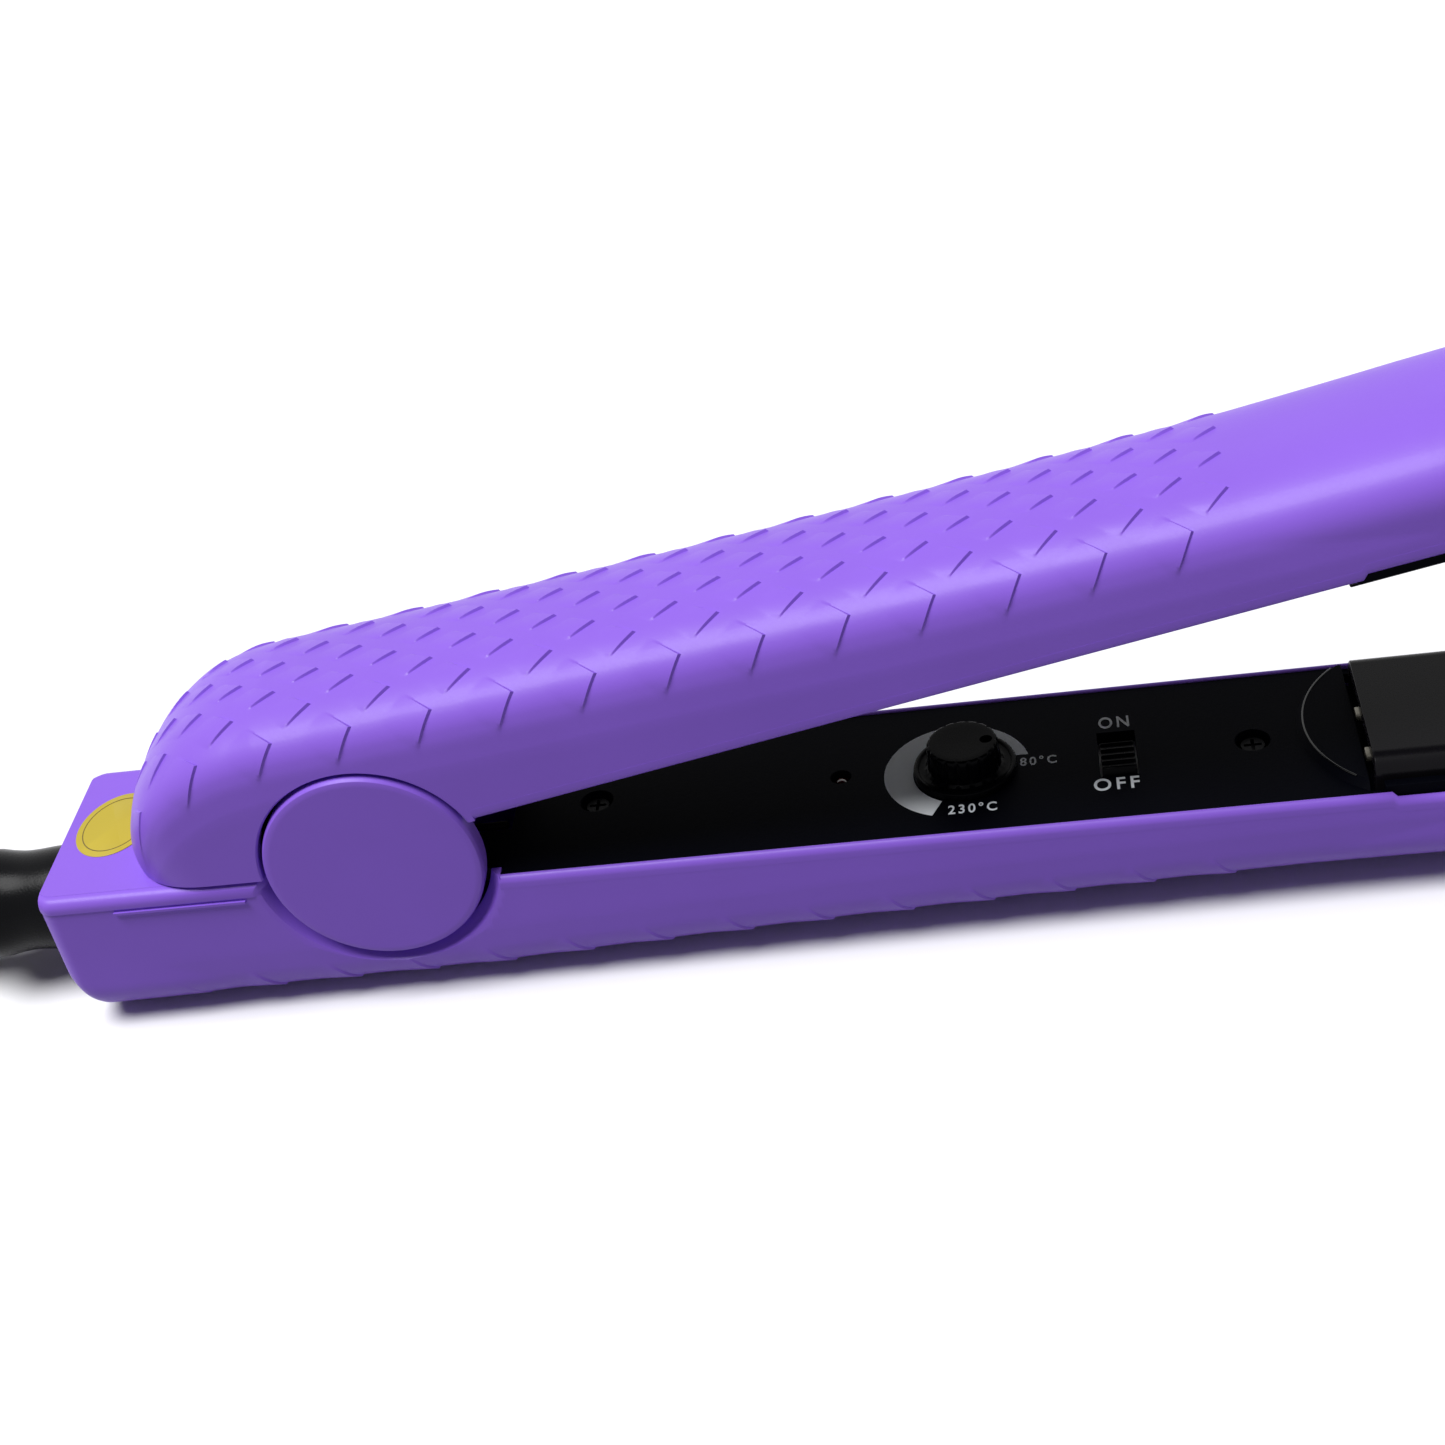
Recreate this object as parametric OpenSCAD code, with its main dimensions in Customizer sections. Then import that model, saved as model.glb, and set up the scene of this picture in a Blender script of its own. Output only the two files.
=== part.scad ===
// Hair straightener: two hinged arms with floating heater plates, a temperature
// knob, a slide switch and a swivel mains cord. It lies on a table with its arms open.
// Lower parts are drawn in the arm's own frame: X runs from the hinge to the tip,
// and Z = 0 is the face of the control panel.

/* [Arms] */
// Width of each arm
body_w = 31; // [29:0.5:33]
// From the hinge axis back to the rear face
rear_len = 50; // [48:1:58]
// From the hinge axis forward to the tips
front_len = 236; // [234:1:250]
// Thickness of the lower arm at the hinge, from panel face to belly
belly_t = 20; // [19:0.5:22]
// Thickness of the upper arm at the hinge
rear_t = 22.2; // [21:0.2:24]
// Thickness of each arm along its plate
slim_t = 14.7; // [14.2:0.1:16]
// Thickness of the lower arm where its tip rests
tip_t = 15.2; // [15:0.1:16.5]
// Depth of the rounded crown across each arm
crown_h = 8.4; // [7:0.2:9]
// Wall of the shells
wall = 2; // [1.6:0.1:2.4]
// Height of the lip above the panel face
lip_h = 0.3; // [0.1:0.1:0.5]
// Width of the lip round the panel
lip_w = 1.1; // [0.9:0.1:1.5]

/* [Hinge] */
// Opening angle between the arms at rest
open_angle = 11.1; // [8:0.1:12]
// Height of the hinge axis above the panel face
hinge_h = 4.4; // [4:0.1:4.8]
// Distance between the faces of the two inner covers when closed
arm_gap = 7.75; // [7.7:0.05:8.2]
// Radius of the hinge pin
pin_r = 2.5; // [2:0.1:3]
// Radius of the round pivot caps
disc_r = 15.4; // [14.6:0.1:15.8]
// Ring gap between a pivot cap and the shells
disc_gap = 0.6; // [0.4:0.1:0.9]
// How far a pivot cap stands out of the side wall
disc_proud = 0.5; // [0.2:0.1:1]

/* [Rear block] */
// Height of the rear block's top above the panel face
block_h = 3.4; // [3:0.1:3.8]
// Thickness of the rear cover
cover_t = 2.2; // [1.8:0.1:2.5]
// Radius of the round label
label_r = 8.5; // [6:0.5:9]
// Depth of the cord swivel's axis below the panel face
swivel_d = 8; // [7.5:0.1:9]
// Radius of the strain relief at its waist
boot_r = 7; // [6.5:0.1:7.4]
// Length of the strain relief outside the shell
boot_len = 40; // [38:1:41]

/* [Plates] */
// Length of a heater plate
plate_len = 90; // [80:1:90]
// Width of a heater plate
plate_w = 24.8; // [22:0.2:25.4]
// Height of a heater plate's face above the panel face
plate_h = 3.7; // [3.2:0.05:3.7]
// Travel of a floating plate
float_travel = 0.8; // [0.4:0.1:1]
// Height of the plate frame's rim above the panel face
rim_h = 1.1; // [0.8:0.1:1.4]

/* [Controls] */
// Distance of the temperature knob from the hinge axis
knob_x = 81.1; // [78:0.1:84]
// Radius of the knob's skirt
knob_r = 7.4; // [6.5:0.1:7.8]
// Height of the knob above the panel face
knob_h = 4.9; // [4.4:0.1:5.2]
// Distance of the switch window from the hinge axis
switch_x = 101.9; // [100:0.1:104]
// Travel of the switch slider
switch_travel = 3.4; // [2.5:0.1:3.6]
// Distance of the power lamp from the hinge axis
led_x = 63.7; // [60:0.1:66]

/* [Cord] */
// Length of the mains cord from strain relief to plug
cord_len = 1800; // [1740:10:1860]
// Diameter of the mains cord
cord_d = 6.2; // [6:0.1:6.2]

/* [Hidden] */
$fn = 64;

purple = [0.45, 0.29, 0.75];
black = [0.05, 0.05, 0.06];
steel = [0.72, 0.72, 0.74];
eps = 0.01;
far = 400; // longer than any arm, for cuts

// Fits
run_gap = 0.06;  // radial clearance of a shaft in its bore
part_gap = 0.3;  // between surfaces that move past each other
seat_gap = 0.1;  // between a piece and the pocket that holds it

// Arm outline along X
half_w = body_w / 2;
belly_end = 12;             // end of the flat belly
slim_x = 150;               // where the taper ends
tip_rest_x = front_len - 16;
tip_flat_x = front_len - 26; // start of the flat under the tip
nose_len = 16;
nose_plan_len = 13;
tail_len = 24.6;            // length of the upper arm's rounded tail
tail_x = -12;               // where the tail starts to round
tail_plan_len = 13.5;
full_x = -8;                // the upper arm is thickest here
taper_power = 1.6;
nose_power = 2.4;
crown_power = 2 / 2.5;
crown_steps = 8;
skirt = 2;                  // how far the raw bodies run past the lip plane, before the cuts
rest_tilt = atan((belly_t - tip_t) / tip_rest_x);
hinge_z = (belly_t + hinge_h) * cos(rest_tilt);

// Hinge layout along Y
ear_in = 9.3;
ear_out = half_w - 2.5;     // inner face of the side walls
ear_r = 7.5;
knuckle_in = 4.2;
knuckle_out = 9;
knuckle_r = 6.5;
cut_r = disc_r + disc_gap;
bevel_w = 3.3;              // bevel round the lower half of a pivot cap
bevel_d = 1;

// Panel pocket and what fills it
panel_t = 2;
panel_x0 = 17;
panel_x1 = 133.6;
tongue_x0 = 9.5;            // each inner cover's narrow rear end runs on to here
tongue_w = 12.6;
spring_slot_w = 4.3;
block_x1 = -15.8;           // front edge of the rear block
plate_x0 = 135;
plate_x1 = plate_x0 + plate_len;
frame_x0 = plate_x0 + 0.4;
frame_x1 = plate_x1 + 4;
notch_x = 136.7;            // the lip steps down for the frame's rim here
notch_d = 0.8;
frame_floor = 3;            // depth of the frame's floor below the panel face
plate_edge_r = 1.6;
plate_leg_t = 1.4;
plate_leg_d = frame_floor - float_travel - 1; // depth of the plate's legs below the panel face
plate_skin = 1.8;
heater_t = 2.6;
dial_y = -0.8;
window_w = 5.2;
window_y0 = -5.3;
window_y1 = 4.6;
slider_l = window_y1 - window_y0 - switch_travel - 2 * part_gap;
led_y = 0.35;
screw_at = [[28.8, 0.3], [120, -0.3]];
cover_screw_at = [[34, 0], [122, 0]];
screw_head_r = 2.1;
screw_hole_r = 2.4;
screw_shank_r = 1.2;
boss_d = 1.5;               // depth of a screw boss under the panel
board_z = -9.4;             // top of the circuit board
board_t = 1.6;
end_wall = 2.6;
neck_r = 5.4;
flange_t = 2.4;             // from the end wall to the inner end of the strain relief
label_at = [-40.7, 2.2];
label_t = 0.12;
screw_end = -11;            // how deep the screws reach
screw_head_h = 1.2;
tail_extra = 0.8;           // extra wall of the rounded tail
spring_r = 5;
spring_wall = 1.5;          // the wound coil as one sleeve
spring_wire = 1.2;
spring_w = 7.4;
spring_x0 = 12;             // the spring's legs press on seats between these
spring_x1 = 16;
spring_seat_w = 3.7;
cap_t = half_w + disc_proud - ear_out;
cap_edge = 0.4;
d_x = 143.5;                // centre of the D-shaped end's arc
d_y = 0.8;
d_r = 17.5;
d_h = 1;
d_w = 13.6;
plate_gap = 0.5;
lug_y = [3, -6];
lug_l = 0.8;
lug_w = 2;
lug_t = 1.4;
heater_x0 = 150;
heater_x1 = 212;
heater_w = 8;
pad_x = [160, 202];
pad_r = 3;
lead_r = 0.8;
lead_y = 5;
lead_up_x = 146;
lead_over = 1.5;            // how far the leads stand up into the frame
board_x0 = 40;
board_x1 = 112;
board_w = 9.5;
board_post_x = [46, 94];
pot_r = 7.5;
pot_h = 5.4;
bush_r = 3.4;
shaft_r = 1.5;
shaft_end = -7;
shaft_top = 3.2;
knob_skirt_h = 1.3;
knob_top_r = 5.1;
knob_flutes = 18;
dial_angle = 10;            // where the knob's mark points at rest
switch_body_w = 9;
stem_w = 2.4;
stem_d = 2;
slider_h = 1.2;
led_r = 1.4;
led_d = 0.5;

// Cord: the lead's route lies on the table, in table coordinates
lead_route = [[-90.4, 0, 14], [-96.6, 0, 14], [-102, 0.4, 13.7], [-107.4, 1.5, 12.9],
    [-112.8, 3.4, 11.3], [-118.2, 6.5, 8.9], [-123.6, 9.6, 6.5], [-129, 11.6, 4.9],
    [-134.4, 12.7, 4.1], [-139.8, 13.1, 3.8], [-146, 13.1, 3.8]];
// The tail's route, from the hank's last turn over its far fold and back to the plug
tail_shape = [[-6.2, 0, 0], [-14, 0.7, 1], [-22, 2.1, 3.4], [-32, 3.1, 6.3], [-41.3, 0.6, 6.8],
    [-48.1, -6.2, 7], [-50.6, -15.5, 7.4], [-48.1, -24.8, 7.9], [-41.3, -31.6, 8.5],
    [-32, -34.1, 9.2], [-24, -32.7, 9.9], [-18, -29.6, 10.3], [-11, -26.1, 10.6],
    [-4, -25.1, 10.7], [2.2, -25.1, 10.7]];
hank_loops = 6;
hank_layers = 4;
hank_y = -15.6;
fold_in = 17.9;             // radius of the innermost fold
cord_gap = 0.6;             // between neighbouring turns
turn_steps = 24;
run_steps = 2;              // steps in half a run
waist_in = 3;               // how far the tie draws each run in
tie_t = 0.5;
tie_gap = 0.2;
tie_w = 12;
plug_l = 36;
plug_t = 13.7;
plug_w = 35.2;
plug_neck = 5.5;            // half width where the cord comes out
plug_neck_l = 4;
plug_grip_l = 16;
plug_grip = 15.6;
plug_round = 1.6;
pin_space = 18.6;
plug_pin_r = 2;
plug_pin_l = 19;
layer_h = cord_d + cord_gap;
hank_start = lead_route[len(lead_route) - 1];
turns_up = hank_loops / hank_layers; // turns in each layer
tail_len_all = path_len(concat([[0, 0, 0]], tail_shape));
turns_len = cord_len - path_len(lead_route) - tail_len_all;
// The run that leaves this length in the turns, which start before the middle of a run
hank_run = (turns_len - 2 * PI * hank_loops * (fold_in + layer_h * turns_up / 2))
    / (2 * hank_loops + 0.5);
hank_at = [hank_start[0] - hank_run / 2, hank_y, hank_start[2]];
// Each layer spirals in or out, and the climbs to the next are along a run
function hank_r(s) = fold_in + layer_h * (s < 0 ? turns_up - s : abs(s % (2 * turns_up) - turns_up));
function climb(s) = let (c = [for (k = [1:hank_layers - 1])
    0.5 + sin(90 * max(-1, min(1, (s - k * turns_up) * turn_steps / run_steps))) / 2])
    c * [for (x = c) 1];
function half_turn(h, r) = h <= run_steps ? [-hank_run / 2 * h / run_steps, r]
    : h < turn_steps / 2 - run_steps
    ? let (a = 180 * (h - run_steps) / (turn_steps / 2 - 2 * run_steps))
        [-hank_run / 2 - r * sin(a), r * cos(a)]
    : [hank_run / 2 * (h - turn_steps / 2) / run_steps, -r];
function waist(p) = abs(p[0]) >= hank_run / 2 ? p
    : [p[0], p[1] - sign(p[1]) * waist_in * (1 + cos(360 * p[0] / hank_run)) / 2];
function hank_point(i) = let (k = (i + turn_steps) % turn_steps, h = k % (turn_steps / 2),
    p = waist((k < turn_steps / 2 ? 1 : -1) * half_turn(h, hank_r(i / turn_steps))))
    hank_at + [p[0], p[1], layer_h * climb(i / turn_steps)];
// Both ends run straight for one diameter
hank_last = hank_loops * turn_steps;
hank_end = hank_point(hank_last);
hank_route = concat([hank_start, hank_start - [cord_d, 0, 0]],
    [for (i = [1 - run_steps:hank_last - 1]) hank_point(i)], [hank_end + [cord_d, 0, 0], hank_end]);
tail_route = concat([hank_end], [for (p = tail_shape) hank_end + p]);
plug_at = tail_route[len(tail_route) - 1];
// One side of the plug's outline, from the cord to the pins
plug_side = [[0, plug_neck], [plug_neck_l, plug_neck + 1], [plug_grip_l, plug_grip],
    [plug_grip_l + plug_neck_l, plug_w / 2 - 0.4], [plug_l - plug_round, plug_w / 2],
    [plug_l - 0.4, plug_w / 2 - 0.6], [plug_l, plug_w / 2 - plug_round]];
hank_self_gap = min([for (i = [0:len(hank_route) - 1],
    j = [i + turn_steps / 2:1:len(hank_route) - 1]) norm(hank_route[i] - hank_route[j])]) - cord_d;
echo(hank_self_gap = hank_self_gap, hank_run = hank_run, start = hank_point(-run_steps));
echo(cord_total = path_len(lead_route) + path_len(hank_route) + path_len(tail_route));

// ---------- outlines ----------

function rest_t(x) = belly_t - x * tan(rest_tilt);
function fall(x, x0, x1) = pow(max(0, x1 - x) / (x1 - x0), taper_power);
function nose(d, len, p) = d <= 0 ? 1 : pow(max(0, 1 - pow(d / len, p)), 1 / p);

// Thickness of the lower arm: flat belly, taper, slim stretch, flat under the tip
function lower_t(x) =
    (x < belly_end ? rest_t(x)
    : x < slim_x ? slim_t + (rest_t(belly_end) - slim_t) * fall(x, belly_end, slim_x)
    : x < tip_flat_x ? slim_t + (rest_t(tip_flat_x) - slim_t) * (x - slim_x) / (tip_flat_x - slim_x)
    : rest_t(x)) * nose(x - (front_len - nose_len * 0.6), nose_len * 0.6, nose_power);

// Thickness of the upper arm: rounded tail, taper, slim stretch, rounded tip
function upper_t(x) =
    (slim_t + (rear_t - slim_t) * fall(max(x, full_x), full_x, slim_x))
    * nose(tail_x - x, tail_len, 2)
    * nose(x - (front_len - nose_len), nose_len, nose_power);

function tip_plan(x) = nose(x - (front_len - nose_plan_len), nose_plan_len, nose_power);
function lower_w(x) = tip_plan(x) * nose(-rear_len + 2 - x, 6, 2);
function upper_w(x) = tip_plan(x) * nose(tail_x - tail_len + tail_plan_len - x, tail_plan_len + 0.1, 2.6);

// One cross-section: straight side walls under a rounded crown with a flat top
function ring(x, b, t) =
    let (h = min(crown_h, 0.7 * t),
         top = pow(sin(90 - 90 / crown_steps), crown_power),
         side = [for (i = [0:crown_steps - 1]) let (a = 90 * i / crown_steps)
             [b * pow(cos(a), crown_power), t - h + h * pow(sin(a), crown_power) / top]])
    concat([[x, b, -skirt]],
        [for (p = side) [x, p[0], p[1]]],
        [for (i = [crown_steps - 1:-1:0]) [x, -side[i][0], side[i][1]]],
        [[x, -b, -skirt]]);

nose_steps = [for (a = [12:13:77]) sin(a)];
mid_x = [-4, belly_end, 30, 50, 70, 90, 110, 130, slim_x, 180, tip_flat_x];
tip_x = [for (s = concat(nose_steps, [0.995])) front_len - nose_len + nose_len * s];
lower_x = concat([-rear_len, -rear_len + 0.7, -rear_len + 2, -30], mid_x, tip_x);
tail_steps = [0.997, 0.98, 0.95, 0.9, 0.83, 0.74, 0.62, 0.48, 0.3];
upper_x = concat([for (s = tail_steps) tail_x - tail_len * s], [tail_x], mid_x, tip_x);
cavity_x = [for (x = upper_x) if (x > tail_x - 20.5 && x < front_len - 4) x];
plan_x = concat([-10, front_len - nose_len], tip_x);

module loft(rings) {
    n = len(rings);
    m = len(rings[0]);
    sides = [for (i = [0:n - 2], j = [0:m - 1]) let (k = (j + 1) % m)
        each [[i * m + j, (i + 1) * m + j, (i + 1) * m + k], [i * m + j, (i + 1) * m + k, i * m + k]]];
    ends = [[for (j = [0:m - 1]) j], [for (j = [m - 1:-1:0]) (n - 1) * m + j]];
    polyhedron([for (r = rings) each r], concat(sides, ends), convexity = 8);
}

// ---------- frames ----------

module lower_frame() translate([0, 0, hinge_z]) rotate([0, rest_tilt, 0])
    translate([0, 0, -hinge_h]) children();

module turn_open(a) translate([0, 0, hinge_h]) rotate([0, -a, 0])
    translate([0, 0, -hinge_h]) children();

// Upper parts are drawn closed, on top of the lower ones
module upper_frame() lower_frame() turn_open(open_angle) children();

// Turns a piece of the lower arm into its twin on the upper arm
module twin() translate([0, 0, arm_gap]) mirror([0, 0, 1]) children();

module along_y(r, y0, y1) translate([0, y0, hinge_h]) rotate([-90, 0, 0]) cylinder(r = r, h = y1 - y0);

module block(x0, x1, w, z0, z1) translate([x0, -w, z0]) cube([x1 - x0, 2 * w, z1 - z0]);

module both_sides() {
    children();
    mirror([0, 1, 0]) children();
}

// Everything below the tail's resting plane, in the closed position
module below_tail() turn_open(-open_angle) block(-far, 0, far, -far, block_h + part_gap);

// ---------- shells ----------

module lower_body() mirror([0, 0, 1])
    loft([for (x = lower_x) ring(x, half_w * lower_w(x), lower_t(x))]);

lower_cavity_x = concat([-rear_len + end_wall],
    [for (x = lower_x) if (x > -rear_len + 3 && x < front_len - 4) x]);
module lower_cavity() mirror([0, 0, 1]) loft([for (x = lower_cavity_x)
    ring(x, min(ear_out, half_w * lower_w(x) - wall), lower_t(x) - wall)]);

module screw_post(p, t) translate([p[0], p[1], wall / 2 - t])
    cylinder(r = screw_hole_r + 0.8, h = t - wall / 2 - panel_t - boss_d);

// Room for a pivot cap in a side wall
module cap_recess() both_sides() along_y(cut_r, -far, -ear_out);

module cap_bevel() both_sides() translate([0, -half_w - 1, hinge_h]) rotate([-90, 0, 0])
    cylinder(r1 = cut_r + bevel_w * (1 + 1 / bevel_d), r2 = cut_r, h = 1 + bevel_d);

// A layer that fills an arm's plan up to the tip, set in from the side walls
module plan_fill(inset, x0, x1, z0, z1) intersection() {
    translate([0, 0, z0]) linear_extrude(z1 - z0) polygon(concat(
        [for (x = plan_x) [x, half_w * tip_plan(x) - inset]],
        [for (i = [len(plan_x) - 1:-1:0]) [plan_x[i], inset - half_w * tip_plan(plan_x[i])]]));
    block(x0, x1, far, z0 - 1, z1 + 1);
}

module panel_pocket() {
    plan_fill(lip_w, panel_x0 - seat_gap, frame_x1 + seat_gap, -panel_t, skirt + 1);
    plan_fill(lip_w, frame_x0 - seat_gap, frame_x1 + seat_gap, -frame_floor - 1, 0);
    block(notch_x, far, far, lip_h - notch_d, far);
}

module screw_bores(places) for (p = places) translate([p[0], p[1], screw_end])
    cylinder(r = screw_shank_r, h = far);

module lower_shell() color(purple) lower_frame() difference() {
    union() {
        difference() {
            lower_body();
            lower_cavity();
            block(block_x1, far, far, lip_h, far);
            block(-far, block_x1, far, block_h - cover_t, far);
            panel_pocket();
            cap_recess();
            cap_bevel();
        }
        // ears that carry the pin
        both_sides() {
            along_y(ear_r, ear_in, ear_out);
            translate([-ear_r, ear_in, crown_h - belly_t])
                cube([2 * ear_r, ear_out - ear_in, belly_t - crown_h + hinge_h]);
        }
        for (p = screw_at) screw_post(p, lower_t(p[0]));
        // posts under the circuit board
        for (x = board_post_x) translate([x, 0, wall / 2 - lower_t(x)])
            cylinder(r = 2, h = board_z - board_t + lower_t(x) - wall / 2);
        // seat of the spring's lower leg
        block(spring_x0, spring_x1, spring_seat_w, wall / 2 - belly_t, hinge_h - spring_r - spring_wire / 2);
    }
    along_y(pin_r, -far, far);
    screw_bores(screw_at);
    // bore and slot for the cord swivel
    swivel_axis(-1) cylinder(r = neck_r + run_gap, h = end_wall + 1.5);
    block(-rear_len - 1, -rear_len + end_wall + 0.5, neck_r + run_gap, -swivel_d, far);
}

// Drawn along +Z, this stands on the rear face and points back into the shell
module swivel_axis(d) translate([d - rear_len, 0, -swivel_d]) rotate([0, 90, 0]) children();

module rear_cover() color(purple) lower_frame() difference() {
    union() {
        intersection() {
            loft([for (x = [-rear_len, -rear_len + 0.7, -rear_len + 2, block_x1])
                ring(x, half_w * lower_w(x), belly_t)]);
            block(-far, block_x1, far, block_h - cover_t, block_h);
        }
        // tongue that closes the swivel's slot
        block(-rear_len + 0.1, -rear_len + end_wall, neck_r - seat_gap, -swivel_d, block_h - cover_t + eps);
    }
    swivel_axis(-1) cylinder(r = neck_r + run_gap, h = 10);
    cap_recess();
    cap_bevel();
}

module upper_body() translate([0, 0, arm_gap])
    loft([for (x = upper_x) ring(x, half_w * upper_w(x), upper_t(x))]);

module upper_cavity(inset, xs) translate([0, 0, arm_gap]) loft([for (x = xs)
    let (w = min(ear_out, half_w * upper_w(x) - wall), t = upper_t(x) - wall - (x < tail_x ? tail_extra : 0))
    ring(x, w - inset, t - inset)]);

module upper_shell() color(purple) upper_frame() difference() {
    union() {
        difference() {
            upper_body();
            upper_cavity(0, cavity_x);
            block(0, far, far, -far, arm_gap - lip_h);
            below_tail();
            twin() panel_pocket();
            cap_recess();
        }
        // knuckles that turn on the pin
        both_sides() {
            along_y(knuckle_r, knuckle_in, knuckle_out);
            translate([-knuckle_r, knuckle_in, hinge_h])
                cube([2 * knuckle_r, knuckle_out - knuckle_in, arm_gap - hinge_h + rear_t - 1.5 * wall]);
        }
        twin() for (p = cover_screw_at) screw_post(p, upper_t(p[0]));
        // seat of the spring's upper leg
        block(spring_x0, spring_x1, spring_seat_w, hinge_h + spring_r + spring_wire / 2,
            arm_gap + upper_t(spring_x1) - wall / 2);
    }
    along_y(pin_r + run_gap, -far, far);
    twin() screw_bores(cover_screw_at);
}

module tail_cover() color(black) upper_frame() intersection() {
    upper_cavity(seat_gap, [for (x = cavity_x) if (x < full_x) x]);
    turn_open(-open_angle) block(-far, -cut_r, far, block_h + part_gap, block_h + part_gap + cover_t);
}

// ---------- inner covers ----------

module inner_cover(places) difference() {
    union() {
        plan_fill(lip_w + seat_gap, panel_x0, panel_x1, -panel_t, 0);
        block(tongue_x0, panel_x0 + 1, tongue_w, -panel_t, 0);
        for (p = places) translate([p[0], p[1], -panel_t - boss_d])
            cylinder(r = screw_hole_r + 0.8, h = boss_d);
    }
    // slot for the spring's leg
    block(tongue_x0 - 1, panel_x0, spring_slot_w, -far, far);
    for (p = places) translate([p[0], p[1], 0]) {
        translate([0, 0, -panel_t]) cylinder(r = screw_hole_r, h = far);
        translate([0, 0, -far]) cylinder(r = screw_shank_r + seat_gap, h = far);
    }
}

module control_panel() color(black) lower_frame() difference() {
    union() {
        inner_cover(screw_at);
        // raised D-shaped end with a bevelled arc
        intersection() {
            translate([d_x, d_y, -eps]) cylinder(r1 = d_r, r2 = d_r - d_h, h = d_h + eps, $fn = 96);
            block(panel_x0, panel_x1, d_w, -1, far);
        }
    }
    translate([led_x, led_y, -far]) cylinder(r = led_r + seat_gap, h = 2 * far);
    translate([knob_x, dial_y, -far]) cylinder(r = bush_r + seat_gap, h = 2 * far);
    translate([switch_x - window_w / 2, window_y0, -far]) cube([window_w, window_y1 - window_y0, 2 * far]);
}

module upper_inner_cover() color(black) upper_frame() twin() inner_cover(cover_screw_at);

module screws(places) for (p = places) translate([p[0], p[1], screw_end]) {
    cylinder(r = screw_shank_r, h = -panel_t - screw_end);
    translate([0, 0, -panel_t - screw_end]) difference() {
        cylinder(r1 = screw_head_r, r2 = screw_head_r - 0.5, h = screw_head_h);
        for (a = [0, 90]) rotate(a) translate([-1.2, -0.25, screw_head_h - 0.6]) cube([2.4, 0.5, 1]);
    }
}

module panel_screws() color(steel) lower_frame() screws(screw_at);
module cover_screws() color(steel) upper_frame() twin() screws(cover_screw_at);

// ---------- hinge ----------

module hinge_pin() color(steel) lower_frame() along_y(pin_r, -ear_out, ear_out);

module torsion_spring() color(steel) lower_frame() {
    difference() {
        along_y(spring_r + spring_wall / 2, -spring_w / 2, spring_w / 2);
        along_y(spring_r - spring_wall / 2, -far, far);
    }
    spring_leg(-1);
    turn_open(open_angle) spring_leg(1);
}

module spring_leg(side) translate([0.5, side * (spring_w / 2 - spring_wire), hinge_h + side * spring_r])
    rotate([0, 90, 0]) cylinder(r = spring_wire / 2, h = spring_x1 - 0.5);

module disc_cap() color(purple) lower_frame() translate([0, -ear_out, hinge_h]) rotate([90, 0, 0])
    rotate_extrude() polygon([[0, 0], [disc_r, 0], [disc_r, cap_t - cap_edge], [disc_r - cap_edge, cap_t], [0, cap_t]]);
module near_disc_cap() disc_cap();
module far_disc_cap() mirror([0, 1, 0]) disc_cap();

module round_label() color("gold") lower_frame() translate([label_at[0], label_at[1], block_h])
    cylinder(r = label_r, h = label_t);

// ---------- heater plates ----------

module plate_frame() difference() {
    plan_fill(lip_w + seat_gap, frame_x0, frame_x1, -frame_floor - 1, rim_h);
    block(frame_x0 - 1, plate_x1 + plate_gap, plate_w / 2 + plate_gap, -frame_floor, far);
    for (s = [-1, 1]) translate([lead_up_x, s * lead_y, -far]) cylinder(r = lead_r + 0.7, h = far);
}

module heater_plate() {
    translate([plate_x0, 0, 0]) rotate([90, 0, 90]) linear_extrude(plate_len) difference() {
        union() {
            translate([-plate_w / 2, -plate_leg_d]) square([plate_w, plate_h - plate_edge_r + plate_leg_d]);
            translate([plate_edge_r - plate_w / 2, 0]) square([plate_w - 2 * plate_edge_r, plate_h]);
            for (s = [-1, 1]) translate([s * (plate_w / 2 - plate_edge_r), plate_h - plate_edge_r])
                circle(r = plate_edge_r);
        }
        translate([plate_leg_t - plate_w / 2, -far])
            square([plate_w - 2 * plate_leg_t, far + plate_h - plate_skin]);
    }
    // end lugs of the aluminium bed
    for (y = lug_y) translate([plate_x0 - lug_l, y - lug_w / 2, plate_h - plate_skin - lug_t])
        cube([lug_l + 2, lug_w, lug_t]);
}

module heater_element()
    block(heater_x0, heater_x1, heater_w, plate_h - plate_skin - heater_t, plate_h - plate_skin);

module plate_pads() for (x = pad_x) translate([x, 0, -frame_floor])
    cylinder(r = pad_r, h = frame_floor + plate_h - plate_skin - heater_t);

module lower_plate_frame() color(black) lower_frame() plate_frame();
module upper_plate_frame() color(black) upper_frame() twin() plate_frame();
module lower_heater_plate() color([0.27, 0.25, 0.25]) lower_frame() heater_plate();
module upper_heater_plate() color([0.27, 0.25, 0.25]) upper_frame() twin() heater_plate();
module lower_heater_element() color("white") lower_frame() heater_element();
module upper_heater_element() color("white") upper_frame() twin() heater_element();
module lower_plate_pads() color("gray") lower_frame() plate_pads();
module upper_plate_pads() color("gray") upper_frame() twin() plate_pads();

// ---------- electrics ----------

module circuit_board() color("darkgreen") lower_frame()
    block(board_x0, board_x1, board_w, board_z - board_t, board_z);

module potentiometer() color("gray") lower_frame() translate([knob_x, dial_y, 0]) difference() {
    union() {
        translate([0, 0, board_z]) cylinder(r = pot_r, h = pot_h);
        translate([0, 0, board_z]) cylinder(r = bush_r, h = -board_z - part_gap);
    }
    translate([0, 0, shaft_end]) cylinder(r = shaft_r + run_gap, h = far);
}

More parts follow.
